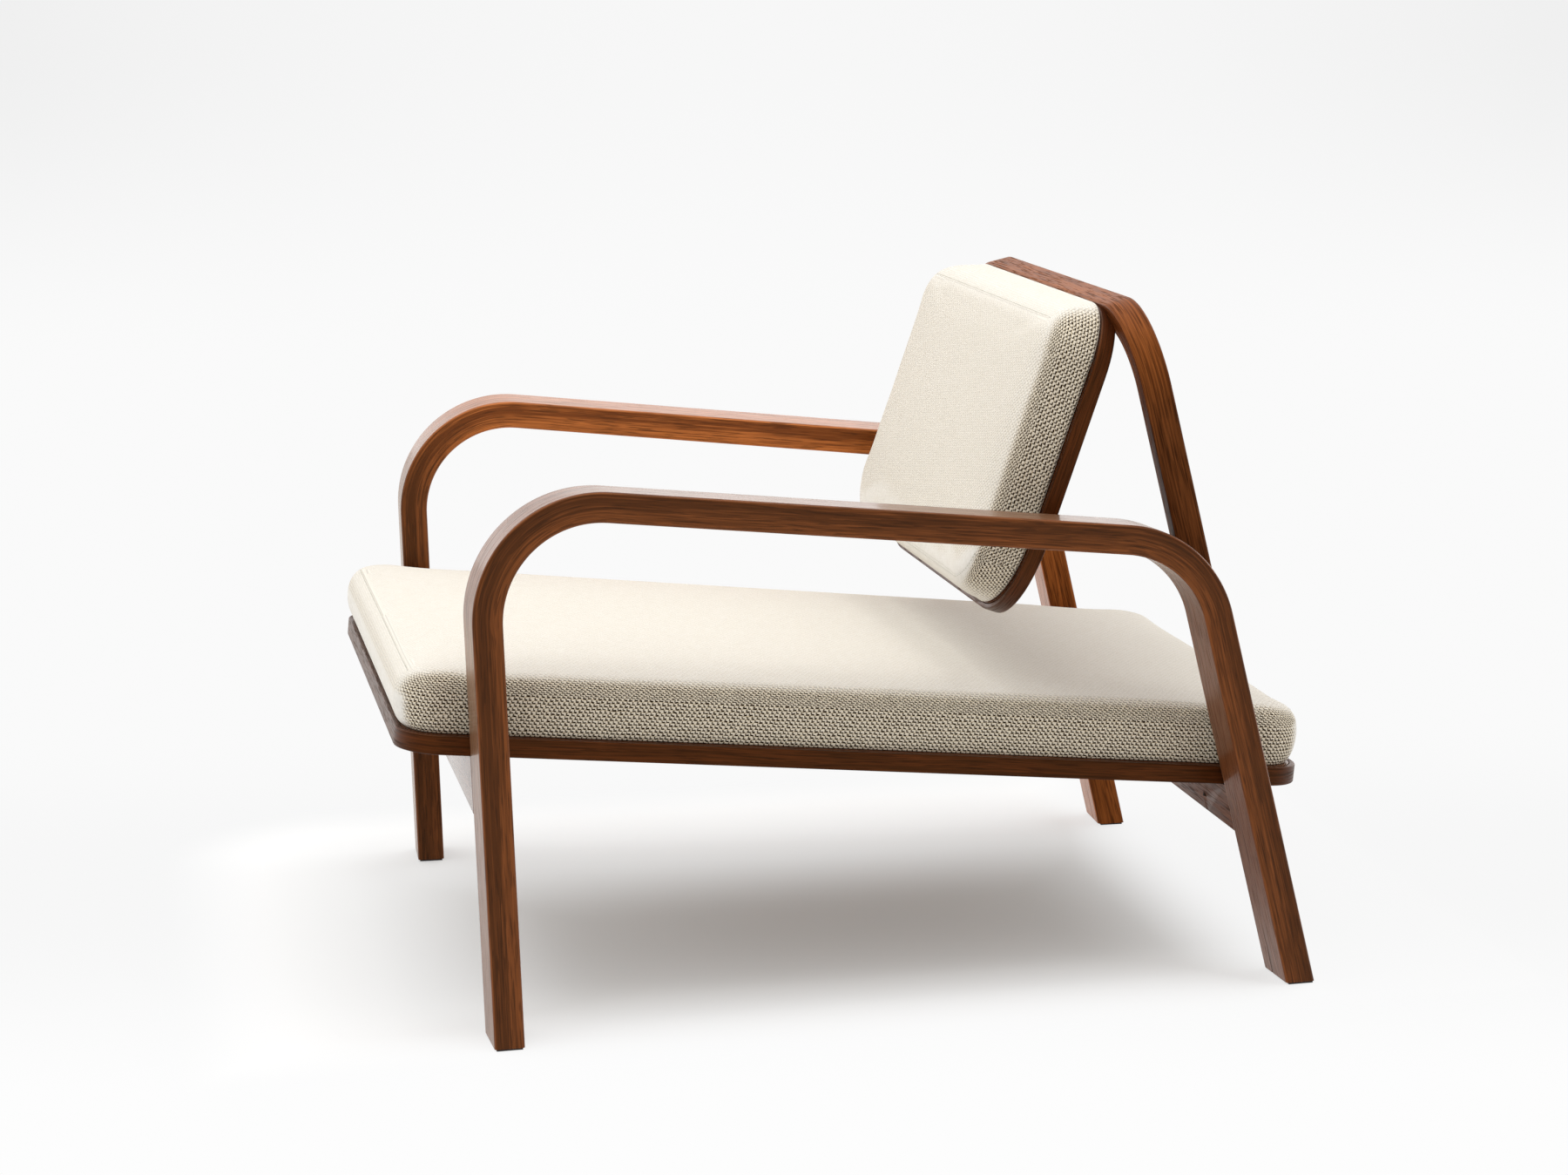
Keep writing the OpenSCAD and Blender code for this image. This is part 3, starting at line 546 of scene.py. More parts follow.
# %% Node group for walnut grain
walnut_tree, ins, outs = new_group(
    "walnut_grain",
    {"Grain place": None, "Pale wood": (0.25, 0.082, 0.028, 1), "Dark wood": (0.040, 0.0085, 0.0025, 1),
     "Layer": 0.0035, "Layer tone": 0.3}, ["Color", "Roughness", "Height"])
tree, place = walnut_tree, ins["Grain place"]
layers = split(place)[2] / ins["Layer"] + 0.5
layer = layers.floor()
layer_tone = pick(tree, "TexWhiteNoise", "Value", {"W": layer}, noise_dimensions="1D")
wander = noise(stretch(place, 2.2, 9, 9), 1.0)
base = vector("ADD", place, combine(tree, layer * 0.83, layer * 0.031, 0.0))
base = vector("ADD", base, combine(tree, 0.0, wander * 0.016, wander * 0.007))
bands = noise(stretch(base, 3.2, 160, 160), 1.0, 3.0, 0.65)
fibres = noise(stretch(base, 14, 620, 560), 1.0, 2.0, 0.6)
pores = ease(noise(stretch(base, 34, 760, 700), 1.0, 1.0), 0.54, 0.64)
tone = bands * 0.42 + fibres * 0.58 + (layer_tone - 0.5) * ins["Layer tone"]
glue_line = ease(abs(layers.fract() - 0.5), 0.43, 0.49) * (ins["Layer tone"] * 0.9)
wood = mix(ease(tone, 0.33, 0.67), ins["Dark wood"], ins["Pale wood"])
wood = mix(pores * 0.5, wood, (0.012, 0.003, 0.001, 1))
feed(outs["Color"], mix(glue_line, wood, (0.03, 0.008, 0.003, 1)))
feed(outs["Roughness"], pores * 0.25 + 0.34 + fibres * 0.10)
feed(outs["Height"], fibres * 0.3 - pores * 0.8)
print("walnut group nodes:", len(tree.nodes))


# %% Materials that use it
def finish(name, **constants):
    material = bpy.data.materials.new(name)
    material.use_nodes = True
    tree = material.node_tree
    shader = tree.nodes["Principled BSDF"]
    for label, value in {"Coat_Roughness": 0.2, **constants}.items():
        shader.inputs[label.replace("_", " ")].default_value = value
    return material, tree, shader


def relief(tree, shader, height, distance, strength):
    bump = add(tree, "Bump", {"Height": height, "Distance": distance, "Strength": strength})
    feed(shader.inputs["Normal"], bump.outputs[0])


def attribute(tree, name, key="Fac"):
    return pick(tree, "Attribute", key, attribute_name=name)


def walnut(name, bent=True, turn=(0, 0, 0), layer=0.0035, layer_tone=0.3, shine=0.5, coat_ior=1.2,
           sheen=0.20, level=0.55, pale=(0.185, 0.053, 0.0145, 1), dark=(0.046, 0.0105, 0.0024, 1),
           painted_highlight=None):
    material, tree, shader = finish(
        name, Coat_Weight=shine, Coat_Roughness=0.12, Coat_IOR=coat_ior, Sheen_Weight=sheen,
        Sheen_Roughness=0.25, Sheen_Tint=(1.0, 0.74, 0.46, 1), Specular_Tint=(1.0, 0.42, 0.14, 1),
        Specular_IOR_Level=level)
    source = attribute(tree, "grain_place", "Vector") if bent else object_place(tree)
    # Painted light: from a given point along the member the wood turns to paler colours
    if painted_highlight:
        start, highlight_pale, highlight_dark = painted_highlight
        highlight_share = ease(split(source)[0], start, start + 0.16)
        pale, dark = mix(highlight_share, pale, highlight_pale), mix(highlight_share, dark, highlight_dark)
    mapping = add(tree, "Mapping", {"Vector": source, "Rotation": turn})
    grain = add(tree, "Group", {
        "Grain place": mapping.outputs[0], "Pale wood": pale, "Dark wood": dark, "Layer": layer,
        "Layer tone": layer_tone}, node_tree=walnut_tree)
    feed(shader.inputs["Base Color"], grain.outputs["Color"])
    feed(shader.inputs["Roughness"], grain.outputs["Roughness"])
    relief(tree, shader, grain.outputs["Height"], 0.0002, 0.35)
    return material


whole = {"layer": 9.0, "layer_tone": 0.0}
bent_walnut = walnut("bent_walnut")
# Painted light: this copy of the walnut turns paler from the front bend on, so the right loop's arm and rear
# leg look lit
right_walnut_painted_light = walnut("right_walnut_painted_light", pale=(0.165, 0.047, 0.0125, 1), dark=(0.040, 0.0090, 0.0020, 1),
                      painted_highlight=(2.72, (0.50, 0.150, 0.036, 1), (0.155, 0.038, 0.008, 1)))
# Painted highlight: the hoop's wood turns paler from near the top of its left leg onwards
hoop_walnut = walnut("hoop_walnut", shine=0.0, sheen=0.0, level=0.15,
                     pale=(0.15, 0.046, 0.013, 1), dark=(0.040, 0.0100, 0.0026, 1),
                     painted_highlight=(5.75, (0.33, 0.097, 0.022, 1), (0.100, 0.024, 0.005, 1)))
edge_walnut = walnut("edge_walnut", **whole, shine=0.1, sheen=0.08, level=0.4,
                     pale=(0.082, 0.0190, 0.0045, 1), dark=(0.019, 0.0040, 0.0008, 1))
across_walnut = walnut("walnut_along_the_rails", False, **whole, shine=0.05, sheen=0.05)
front_rail_walnut = walnut("front_rail_walnut", False, **whole, shine=1.0, coat_ior=2.0, sheen=0.32)
depth_walnut = walnut("walnut_veneer", False, (0, 0, radians(90)), **whole)
plug_walnut = walnut("plug_walnut", False, **whole, pale=(0.14, 0.044, 0.017, 1),
                     dark=(0.03, 0.007, 0.003, 1))


# %% [markdown]
# ## The side loops
#
# Each loop is leg, arm and rear leg in one bent piece. A housing in the rear leg takes the hoop's leg, and
# the feet are cut level just above their glides. The right loop is the left one mirrored, with another
# stretch of grain and with painted light: from its front bend on, over the arm and down the rear leg, its
# wood is painted paler.

# %% Make the side loops
def dress(piece, material, slot, *nodes, sharp_from=None):
    piece.data.shade_smooth()
    if sharp_from:
        piece.data.set_sharp_from_angle(angle=radians(sharp_from))
    piece.data.materials.clear()
    piece.data.materials.append(material)
    if nodes:
        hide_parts(*nodes)
    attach(piece, "root")
    print(piece.name, len(piece.data.polygons), "faces")


def hoop_leg_block():
    turn, past = radians(hoop_cant), 40
    leg_length = np.linalg.norm(hoop_c - hoop_n * hoop_bend_r - hoop_p)
    corners = [(hoop_p[0] + x * cos(turn) - y * sin(turn), x * sin(turn) + y * cos(turn), d)
               for x in (-hoop_t - past, fit_gap) for y in (-past, leg_length + past)
               for d in (-past, loop_t + fit_gap)]
    return make_piece("cutter", placed(corners, place_hoop), box_faces)


loop_section = eased_section(loop_t, loop_w, edge_r)
left_loop = sweep("left_side_loop_bent", loop_line, loop_section, place_loop)
cut_away(left_loop, hoop_leg_block(), all_below(glide_t))
mirrored = left_loop.data.copy()
mirrored.transform(Matrix.Scale(-1, 4, (1, 0, 0)))
mirrored.flip_normals()
right_loop = new_object("right_side_loop_bent", mirrored)
for loop, side, offset, wood, node in (
        (left_loop, 1, 0, bent_walnut, "left_side_loop"),
        (right_loop, -1, 2300, right_walnut_painted_light, "right_side_loop")):
    grain_along(loop, loop_line, loop_t, place_loop, side, offset)
    dress(loop, wood, "walnut", node, sharp_from=32)

# %% [markdown]
# ## The back hoop
#
# The hoop is a second bent member, flat in its own raked plane and swept from foot to foot. Its top bar gets
# three round holes for the plugged screws. From near the top of its left leg on, its wood is painted paler:
# a painted highlight that runs on over the top bar and down the other leg.

# %% Make the back hoop
hoop_leg_end = hoop_c - hoop_n * hoop_bend_r
mirror_x = np.array([-1.0, 1.0])
left_leg = join_runs(straight(hoop_p - hoop_d * under_floor, hoop_leg_end, -hoop_n, 8),
                     bend(hoop_c, hoop_cant, 90, hoop_bend_r, 28))
hoop_line = join_runs(left_leg, straight(left_leg[-1][0], left_leg[-1][0] * mirror_x, heading(90), 8),
                      [(p * mirror_x, e * mirror_x) for p, e in reversed(left_leg)])
hoop = sweep("back_hoop_bent", hoop_line, eased_section(hoop_t, loop_t, edge_r), place_hoop, shift=loop_t)


def drill(x, s, diameter, depth, matrix, start=-1):
    around = [heading(a) * diameter / 2 for a in np.linspace(0, 360, 48, endpoint=False)]
    n = len(around)
    drawn = [(x + p[0], s + p[1], d) for d in (start, depth) for p in around]
    sides = [(k, (k + 1) % n, n + (k + 1) % n, n + k) for k in range(n)]
    return make_piece("cutter", placed(drawn, matrix), sides + [range(n), range(n, 2 * n)])


bar_s = hoop_len - hoop_t * 0.7
cut_away(hoop, all_below(glide_t))
for x in (-bar_screw_out, 0, bar_screw_out):
    cut_away(hoop, drill(x, bar_s, bore_d + 2 * fit_gap, loop_t / 2, place_hoop))
grain_along(hoop, hoop_line, hoop_t, place_hoop, offset=5200)
dress(hoop, hoop_walnut, "walnut", "back_hoop", sharp_from=32)

# %% [markdown]
# ## Board edges
#
# What shows round each plywood board is a strip of solid walnut with two eased edges. It is the same
# sweep again, closed into a ring along the outline of the board.

# %% Outlines of the boards
def board_outline(low, high, half, r_low, r_high, draw_in, steps=14):
    tilt = np.degrees(np.arctan(draw_in))
    low_c = np.array([half - (low + r_low) * draw_in - r_low / cos(radians(tilt)), low + r_low])
    high_c = np.array([half - (high - r_high) * draw_in - r_high / cos(radians(tilt)), high - r_high])
    first = bend(low_c, -90, tilt, r_low, steps)
    last = bend(high_c, tilt, 90, r_high, steps)
    half_way = join_runs(straight(np.array([0.0, low]), first[0][0], heading(-90), 6), first,
                         straight(first[-1][0], last[0][0], heading(tilt), 8), last,
                         straight(last[-1][0], np.array([0.0, high]), heading(90), 6))
    return half_way + [(p * mirror_x, e * mirror_x) for p, e in reversed(half_way[1:-1])]


seat_outline = board_outline(board_front, board_rear, board_half, board_corner_r, board_corner_r, taper)
back_outline = board_outline(back_low, back_high, back_w / 2, back_low_r, back_top_r, 0.0)

# %% Make the board edges
behind_hoop = block((-600, hoop_len / 2, loop_t - 400), (600, 900, loop_t), place_hoop)
for name, outline, thick, place_board, cutters, offset, node in (
        ("seat_board_edge", seat_outline, board_t, place_seat, [], 900, "seat_board_lipping"),
        ("back_board_edge", back_outline, back_t, place_back, [behind_hoop], 3100, "back_board_lipping")):
    lipping = eased_section(lip_w, thick, strip_ease, hold=strip_hold)
    edge = sweep(name, outline, lipping, place_board, closed=True, shift=thick)
    cut_away(edge, *cutters)
    grain_along(edge, outline, lip_w, place_board, offset=offset, closed=True)
    dress(edge, edge_walnut, "walnut", node, sharp_from=32)

# %% [markdown]
# ## Rails and boards
#
# The rails have the right shape already, but knife sharp edges, so a copy of each solid gets a
# Bevel. The rear rail leans away from its screws, and their counterbores would show in its front
# face, so a wooden plug closes each one and is cut flush.

# %% Ease the edges of plain solids
def eased_copy(name, node, width, plugs=()):
    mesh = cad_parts[node].data.copy()
    mesh.name = name
    work = bmesh.new()
    work.from_mesh(mesh)
    bmesh.ops.remove_doubles(work, verts=work.verts, dist=0.00002)
    bmesh.ops.dissolve_limit(work, angle_limit=radians(1), verts=work.verts, edges=work.edges)
    work.to_mesh(mesh)
    work.free()
    piece = new_object(name, mesh)
    cut_away(piece, *plugs, operation="UNION")
    modify(piece, "BEVEL", width=width * 0.001, segments=2, limit_method="ANGLE", angle_limit=radians(50))
    return piece


def rear_face_y(z):
    return hoop_y - z * tan(rake) - loop_t / cos(rake)


screw_y = rear_face_y(board_z - rear_face_y(rear_rail_z) * tan(slope)) + rail_t / 2
rail_plugs = []
for x in (-rail_screw_out, 0, rail_screw_out):
    plug = drill(x, screw_y / cos(slope), bore_d + 3 * fit_gap, -plug_reach, place_seat, screw_head_z)
    cut_away(plug, block((-600, -900, loop_t), (600, 900, 300), place_hoop), all_below(rear_rail_z))
    rail_plugs.append(plug)
for name, node, plugs, material in (
        ("front_rail_eased", "front_cross_rail", (), front_rail_walnut),
        ("rear_rail_eased", "rear_cross_rail", rail_plugs, across_walnut)):
    dress(eased_copy(name, node, rail_ease, plugs), material, "walnut", node, sharp_from=32)

# %% [markdown]
# ## The pads
#
# A woven cover is pulled round a plywood base and a foam block. Its sides draw in a little between
# the corners, its upper edges are round, and the top is gently crowned. We lay an even grid of square
# faces over that form, slightly too small, and a cloth simulation blows it up like a tight cushion,
# with the underside held still.

# %% Points round one level of a pad
def pad_ring(low, high, half_low, half_high, r_low, r_high, across, along):
    # One point for each grid line that meets the edge, from the low left corner round to the right
    def end_side(y, out, half, r):
        reach = max(half - r, 0)
        for s in np.linspace(-1, 1, across + 1)[:-1] * (reach + r * pi / 4):
            turn = max(abs(s) - reach, 0) / r
            yield np.sign(s) * (min(abs(s), reach) + r * sin(turn)), y - out * r * (1 - cos(turn))

    def long_side():
        straight_run = max(high - low - r_low - r_high, 0)
        total = straight_run + (r_low + r_high) * pi / 4
        for s in np.linspace(0, total, along + 1)[:-1]:
            at_low, at_high = r_low * pi / 4 - s, s - (total - r_high * pi / 4)
            turn, r = (at_low / r_low, r_low) if at_low > 0 else (max(at_high, 0) / r_high, r_high)
            y = low + r_low + min(max(s - r_low * pi / 4, 0), straight_run)
            y += -r * sin(turn) if at_low > 0 else r * sin(turn)
            share = (y - low) / (high - low)
            draw_in = waist * sin(pi * share) if turn == 0 else 0
            yield half_low + (half_high - half_low) * share - r * (1 - cos(turn)) - draw_in, y

    right = [*long_side()]
    last = [(-x, y) for x, y in end_side(high, 1, half_high, r_high)]
    left = [(-x, y) for x, y in reversed(right)]
    corner = (-(half_high - r_high * (1 - cos(pi / 4))), high - r_high * (1 - cos(pi / 4)))
    return [*end_side(low, -1, half_low, r_low), *right, *last, corner, *left[:-1]]


# The grid is laid this shy of the finished form, and the crown rises over this reach from the edge
shy, crown_reach, waist = 2.0, 170, 1.5
seat_pad_t, seat_crown, seat_inset, front_bulge, rear_bulge = 57.0, 4.0, 2.0, 10.0, 7.0
back_pad_t, back_crown, back_top_drop, back_low_rise, back_over = 50.0, 1.6, 20.0, 11.0, 7.0


def seat_ring(step, z):
    bulge = max(sin(pi * min(z / seat_pad_t, 1)), 0) ** 0.35
    low = board_front + seat_inset + step - bulge * front_bulge
    high = board_rear - seat_inset - step + bulge * rear_bulge
    r = max(board_corner_r - step, 3)
    half = board_half - seat_inset - step
    return low, high, half - low * taper, half - high * taper, r, r


def back_ring(step, z):
    share = min(z / back_pad_t, 1)
    low = back_low + seat_inset + step + back_low_rise * share
    high = back_high + back_over - step - back_top_drop * share
    half = back_w / 2 - 1 - step
    r_low, r_high = back_low_r - 28 * share - step, back_top_r - 22 * share - step
    return low, high, half, half, max(r_low, 3), max(r_high, 3)


# %% Lay a grid of faces over a pad
# A level of the side is a distance in from the outline and a share of the thickness
pad_levels = ((4, 0.0), (0.8, 0.05), (0, 0.17), (-0.6, 0.30), (-0.9, 0.43), (-0.7, 0.56), (-0.1, 0.67),
              (1.1, 0.77), (3.4, 0.86), (7.0, 0.935), (12.4, 0.985), (19, 1.01))


def grid_pad(name, ring_at, thick, crown, matrix, base, cell):
    low, high, half = ring_at(pad_levels[-1][0], thick)[:3]
    across, along = 2 * round(half / cell), 2 * round((high - low) / cell / 2)
    top = thick * 1.03 + crown
    edge = [(i, 0) for i in range(across)] + [(across, j) for j in range(along)]
    edge += [(across - i, along) for i in range(across)] + [(0, along - j) for j in range(along)]
    points, index = [], {}

    def put(key, x, y, z):
        index[key] = len(points)
        points.append((x, y, z * (top - shy) / top + base))

    def ring_points(step, z):
        ring = ring_at(step, z)
        centre_y = (ring[0] + ring[1]) / 2
        return {key: np.array([x - np.sign(x) * min(shy, abs(x)), y - np.sign(y - centre_y) * shy])
                for key, (x, y) in zip(edge, pad_ring(*ring, across, along))}

    def rise_in(distance):
        return 1 - (1 - min(max(distance, 0) / crown_reach, 1)) ** 2

    for face, (step, share) in (("under", pad_levels[0]), ("top", pad_levels[-1])):
        ring = ring_points(step, thick * share)
        low, high, half = ring_at(step, thick * share)[:3]
        for i in range(across + 1):
            for j in range(along + 1):
                u, v = i / across, j / along
                if (i, j) in ring:
                    x, y = ring[i, j]
                else:
                    low_end = (1 - v) * ring[0, 0] + v * ring[0, along]
                    high_end = (1 - v) * ring[across, 0] + v * ring[across, along]
                    sides = (1 - v) * ring[i, 0] + v * ring[i, along] + (1 - u) * ring[0, j]
                    x, y = sides + u * ring[across, j] - (1 - u) * low_end - u * high_end
                domed = (crown + thick * 0.02) * rise_in(half - abs(x)) * rise_in(min(y - low, high - y))
                put((face, i, j), x, y, thick * share + (domed if face == "top" else 0))
    for level, (step, share) in enumerate(pad_levels[1:-1]):
        for key, (x, y) in ring_points(step, share * thick).items():
            put((level, *key), x, y, share * thick)
    faces = []
    for i in range(across):
        for j in range(along):
            square = ((i, j), (i + 1, j), (i + 1, j + 1), (i, j + 1))
            faces += [[index[(face, *key)] for key in square] for face in ("under", "top")]
    names = ["under", *range(len(pad_levels) - 2), "top"]
    for lower, higher in zip(names[:-1], names[1:]):
        for here, after in zip(edge, edge[1:] + edge[:1]):
            faces.append([index[key] for key in (
                (lower, *here), (lower, *after), (higher, *after), (higher, *here))])
    return make_piece(name, placed(points, matrix), faces)


# %% Blow a pad up with cloth
# Points lower than the first number, in millimetres, are held still
held_below, cloth_frames, even_rounds, stiffness = 2.5, 20, 12, 15


def swell(piece, matrix, base, most):
    start = coordinates(piece.data)
    heights = drawn_from(start, matrix)[:, 2] - base
    held = piece.vertex_groups.new(name="held")
    held.add([int(i) for i in np.where(heights < held_below)[0]], 1.0, "REPLACE")
    cloth = piece.modifiers.new("cloth", "CLOTH")
    assign(cloth.settings, quality=5, mass=0.3, use_pressure=True, uniform_pressure_force=4,
           tension_stiffness=stiffness, compression_stiffness=stiffness, vertex_group_mass="held")
    cloth.settings.effector_weights.gravity = 0
    cloth.collision_settings.use_collision = False
    for frame_number in range(1, cloth_frames + 1):
        scene.frame_set(frame_number)
    blown = coordinates(evaluated(piece).data)
    scene.frame_set(1)
    piece.modifiers.clear()
    piece.vertex_groups.clear()
    moved = blown - start
    first, second = read(piece.data.edges, "vertices", 2, int).T
    count = np.bincount(np.concatenate([first, second]), minlength=len(start))[:, None]
    for _ in range(even_rounds):
        total = np.stack([np.bincount(first, moved[second, k], len(start)) +
                          np.bincount(second, moved[first, k], len(start)) for k in range(3)], 1)
        moved = (moved + total / count) / 2
    moved[heights < held_below] = 0
    far = np.linalg.norm(moved, axis=1, keepdims=True)
    moved *= np.minimum(1, most * 0.001 / np.maximum(far, 1e-9))
    piece.data.vertices.foreach_set("co", (start + moved).ravel())
    piece.data.update()
    print(piece.name, "cloth moved at most", round(float(far.max()) * 1000, 1), "mm, on average",
          round(float(far.mean()) * 1000, 1), "mm, kept to", most)


# %% [markdown]
# ## Where the cloth runs and where it is sewn
#
# One panel of cloth covers the top and both long sides. Two strips close the short ends, sewn to it
# along the upper edge of the pad and round its corners. Each face gets a cloth map in metres on its
# own panel. Each point keeps its distance from the nearest seam, and the surface is dented there.

# %% Find the panels
def corner_distance(a, b):
    return np.hypot(np.maximum(a, 0), np.maximum(b, 0)) + np.minimum(np.maximum(a, b), 0)


def edge_frame(drawn, shape):
    x, y = np.abs(drawn[:, 0]), drawn[:, 1]
    front_side = y < (shape.low + shape.high) / 2
    r = np.where(front_side, shape.r_low, shape.r_high)
    half = shape.half - y * shape.taper
    dx = x - (half - r)
    dy = np.where(front_side, shape.low + r - y, y - (shape.high - r))
    turn = np.degrees(np.arctan2(np.maximum(dy, 0), np.maximum(dx, 1e-6)))
    stop = np.where(front_side, shape.stop_low, shape.stop_high)
    return r - corner_distance(dx, dy), turn, stop, r, front_side


def seam_distance(drawn, shape):
    inside, turn, stop, r, _ = edge_frame(drawn, shape)
    over = ((inside - shape.seam_in) + (drawn[:, 2] - shape.seam_z)) / 1.25
    return corner_distance(over, np.radians(stop - turn) * r)


def cloth_place(here, side, strip, upper, shape):
    inside, turn, _, r, front_side = edge_frame(here, shape)
    angle = np.radians(turn)
    out = np.where(front_side, -1.0, 1.0)
    corner_y = np.where(front_side, shape.low + r, shape.high - r)
    along = np.where(angle > 0.001, corner_y + out * r * angle, here[:, 1])
    round_r, bend_z = shape.edge_round, shape.seam_z - shape.edge_round
    rise = here[:, 2] - bend_z
    lean = np.arctan2(np.maximum(rise, 0), np.maximum(round_r - inside, 0.01))
    climb = np.where(rise < 0, rise, round_r * lean) + np.where(rise > 0, np.maximum(inside - round_r, 0), 0)
    main_v = side * (shape.half + round_r * 0.57 - climb)
    half = shape.half - corner_y * shape.taper
    strip_u = np.where(angle < pi / 2 - 0.001, half - r + r * (pi / 2 - angle), np.abs(here[:, 0]))
    return (np.where(strip, side * strip_u, np.where(upper, here[:, 1], along)),
            np.where(strip, strip_start + climb, np.where(upper, here[:, 0], main_v)))


# The two strips start here on the cloth map, and a seam's dent is this deep and this wide
strip_start, dent_depth, dent_width, no_seam = 400, 0.08, 2.6, 50


def map_cloth(piece, matrix, base, shape):
    mesh = piece.data
    drawn = drawn_from(coordinates(mesh), matrix) - (0, 0, base)
    away = seam_distance(drawn, shape)
    turn = edge_frame(drawn, shape)[1]
    on_end = np.clip((turn - 70) / 15, 0, 1) if shape.stop_low > 60 else np.ones(len(turn))
    normals = read(mesh.vertex_normals, "vector", 3)
    upper = np.clip(drawn[:, 2] / 6, 0, 1) * on_end
    dent = dent_depth * np.exp(-(away / dent_width) ** 2) * upper
    moved = coordinates(mesh) - normals * dent[:, None] * 0.001
    mesh.vertices.foreach_set("co", moved.ravel())
    mesh.update()
    keep(mesh, "seam", np.where(on_end > 0.5, away, no_seam) * 0.001)
    keep(mesh, "from_side", (shape.half - drawn[:, 1] * shape.taper - np.abs(drawn[:, 0])) * 0.001)
    corners = read(mesh.loops, "vertex_index", kind=int)
    counts = read(mesh.polygons, "loop_total", kind=int)
    owner = np.repeat(np.arange(len(counts)), counts)
    centre = np.stack([np.bincount(owner, drawn[corners, k]) / counts for k in range(3)], 1)
    facing = read(mesh.polygons, "normal", 3) @ matrix[:, :3]
    strip = (seam_distance(centre, shape) < 0)[owner]
    upper = (facing[:, 2] > 0.93)[owner]
    u, v = cloth_place(drawn[corners], np.sign(centre[owner, 0]), strip, upper, shape)
    layer = mesh.uv_layers.new(name="cloth")
    layer.data.foreach_set("uv", (np.stack([u, v], 1) * 0.001).astype(np.float32).ravel())


# %% [markdown]
# ## The woven cover
#
# The cloth is a coarse basket weave in natural wool: rows of short thick floats, each row stepped aside from
# the one below. Between them are small openings, painted dark as shade, and the rims of the floats get
# painted shade too. The covers paint this shade strongly on faces that look sideways and little on faces
# that look up or forward, where light fills it. The group below draws a float from the cloth map, and its
# height for the relief.

# %% Node group for the weave
weave_tree, ins, outs = new_group(
    "basket_weave",
    {"Cloth map": None, "Yarn": (0.80, 0.76, 0.68, 1), "Shaded yarn": (0.62, 0.49, 0.33, 1),
     "Opening": (0.07, 0.055, 0.04, 1), "Open": 1.0, "Float length": 0.0048, "Row height": 0.0032},
    ["Color", "Height"])
tree, place, openness_and_shade = weave_tree, ins["Cloth map"], ins["Open"]
jitter = pick(tree, "TexNoise", "Color", {"Vector": place, "Scale": 190.0, "Detail": 2.0})
u, v, _ = split(vector("ADD", place, stretch(jitter, 0.0034, 0.0026, 0)))
rows = v / ins["Row height"]
row = rows.floor()
cols = u / ins["Float length"] + row * 0.40
run, drop = cols.fract(), rows.fract()
across, upward = abs(run - 0.5), abs(drop - 0.5)
rim = (across * 2.02) ** 4.0 + (upward * 2.04) ** 2.6
crown = (1.0 - rim).at_least(0.0).sqrt()
own_tone = pick(tree, "TexWhiteNoise", "Value", {"Vector": combine(tree, row, cols.floor(), 0.0)},
                noise_dimensions="3D")
fuzz = noise(place, 1400.0, 2.0, 0.7)

# %% Openings, colour and height of the weave
ends = own_tone * 0.22 + 0.36
dash = ease(run, 0.0, 0.08) * (1.0 - ease(run - ends, 0.0, 0.10)) * ease(drop, 0.52, 0.64)
link = ease(across, 0.34, 0.41) * ease(drop, 0.02, 0.22)
gap = dash.at_least(link * 0.85)
yarn = mix((1.0 - own_tone) * 0.2, ins["Yarn"], (0.58, 0.53, 0.44, 1))
yarn = mix(fuzz * 0.12, yarn, (0.62, 0.58, 0.50, 1))
# Painted shade: the rims of each float, and evenly a share of all the yarn, turn towards the shaded yarn
# colour, as far as the input asks
yarn = mix(ease(rim, 0.35, 1.15) * openness_and_shade * 0.6, yarn, ins["Shaded yarn"])
yarn = mix(openness_and_shade * 0.35, yarn, ins["Shaded yarn"])
# Painted shade: the openings are darkened with their shade colour, as far as the input asks
feed(outs["Color"], mix(gap * openness_and_shade, yarn, ins["Opening"]))
feed(outs["Height"], (crown + fuzz * 0.2 - gap * 0.9) * (openness_and_shade ** 1.5 + 0.08))

# %% Material of the covers
cream_weave, tree, shader = finish("cream_weave", Roughness=0.95, Sheen_Weight=0.10, Sheen_Roughness=0.5,
                                   Sheen_Tint=(1.0, 0.82, 0.58, 1), Specular_IOR_Level=0.05)
own_normal = pick(tree, "VectorTransform", 0, {0: pick(tree, "NewGeometry", "Normal")},
                  vector_type="NORMAL", convert_from="WORLD", convert_to="OBJECT")
sideways, forward, upward = split(own_normal)
forward = ease(abs(forward), 0.6, 0.9)
leaning = ease(upward, 0.12, 0.30)
beside = 1.0 - ease(attribute(tree, "from_side"), -0.004, 0.045)
# Painted shade by facing: the weave's painted shade is strongest on faces that look sideways, which the
# light grazes, is kept near the sides of the top, is weak on faces that look up or look forward and lean up,
# and is left out on upright ends.
openness_and_shade = (ease(abs(sideways), 0.2, 0.75) * 0.83 + 0.17).at_least(forward * leaning * 0.28)
openness_and_shade = openness_and_shade.at_least(beside * 0.6) * (1.0 - forward * (1.0 - leaning))
weave = add(tree, "Group", {
    "Cloth map": pick(tree, "UVMap", uv_map="cloth"), "Open": openness_and_shade,
    "Yarn": (0.845, 0.82, 0.768, 1), "Shaded yarn": (0.80, 0.61, 0.32, 1),
    "Opening": (0.022, 0.009, 0.002, 1), "Float length": 0.0048, "Row height": 0.0032}, node_tree=weave_tree)
seam_line = 1.0 - ease(abs(attribute(tree, "seam")), 0.0002, 0.0009)
feed(shader.inputs["Base Color"], mix(seam_line * 0.12, weave.outputs["Color"], (0.30, 0.28, 0.23, 1)))
relief(tree, shader, Value(weave.outputs["Height"]) - seam_line * 0.3, 0.0009, 0.8)

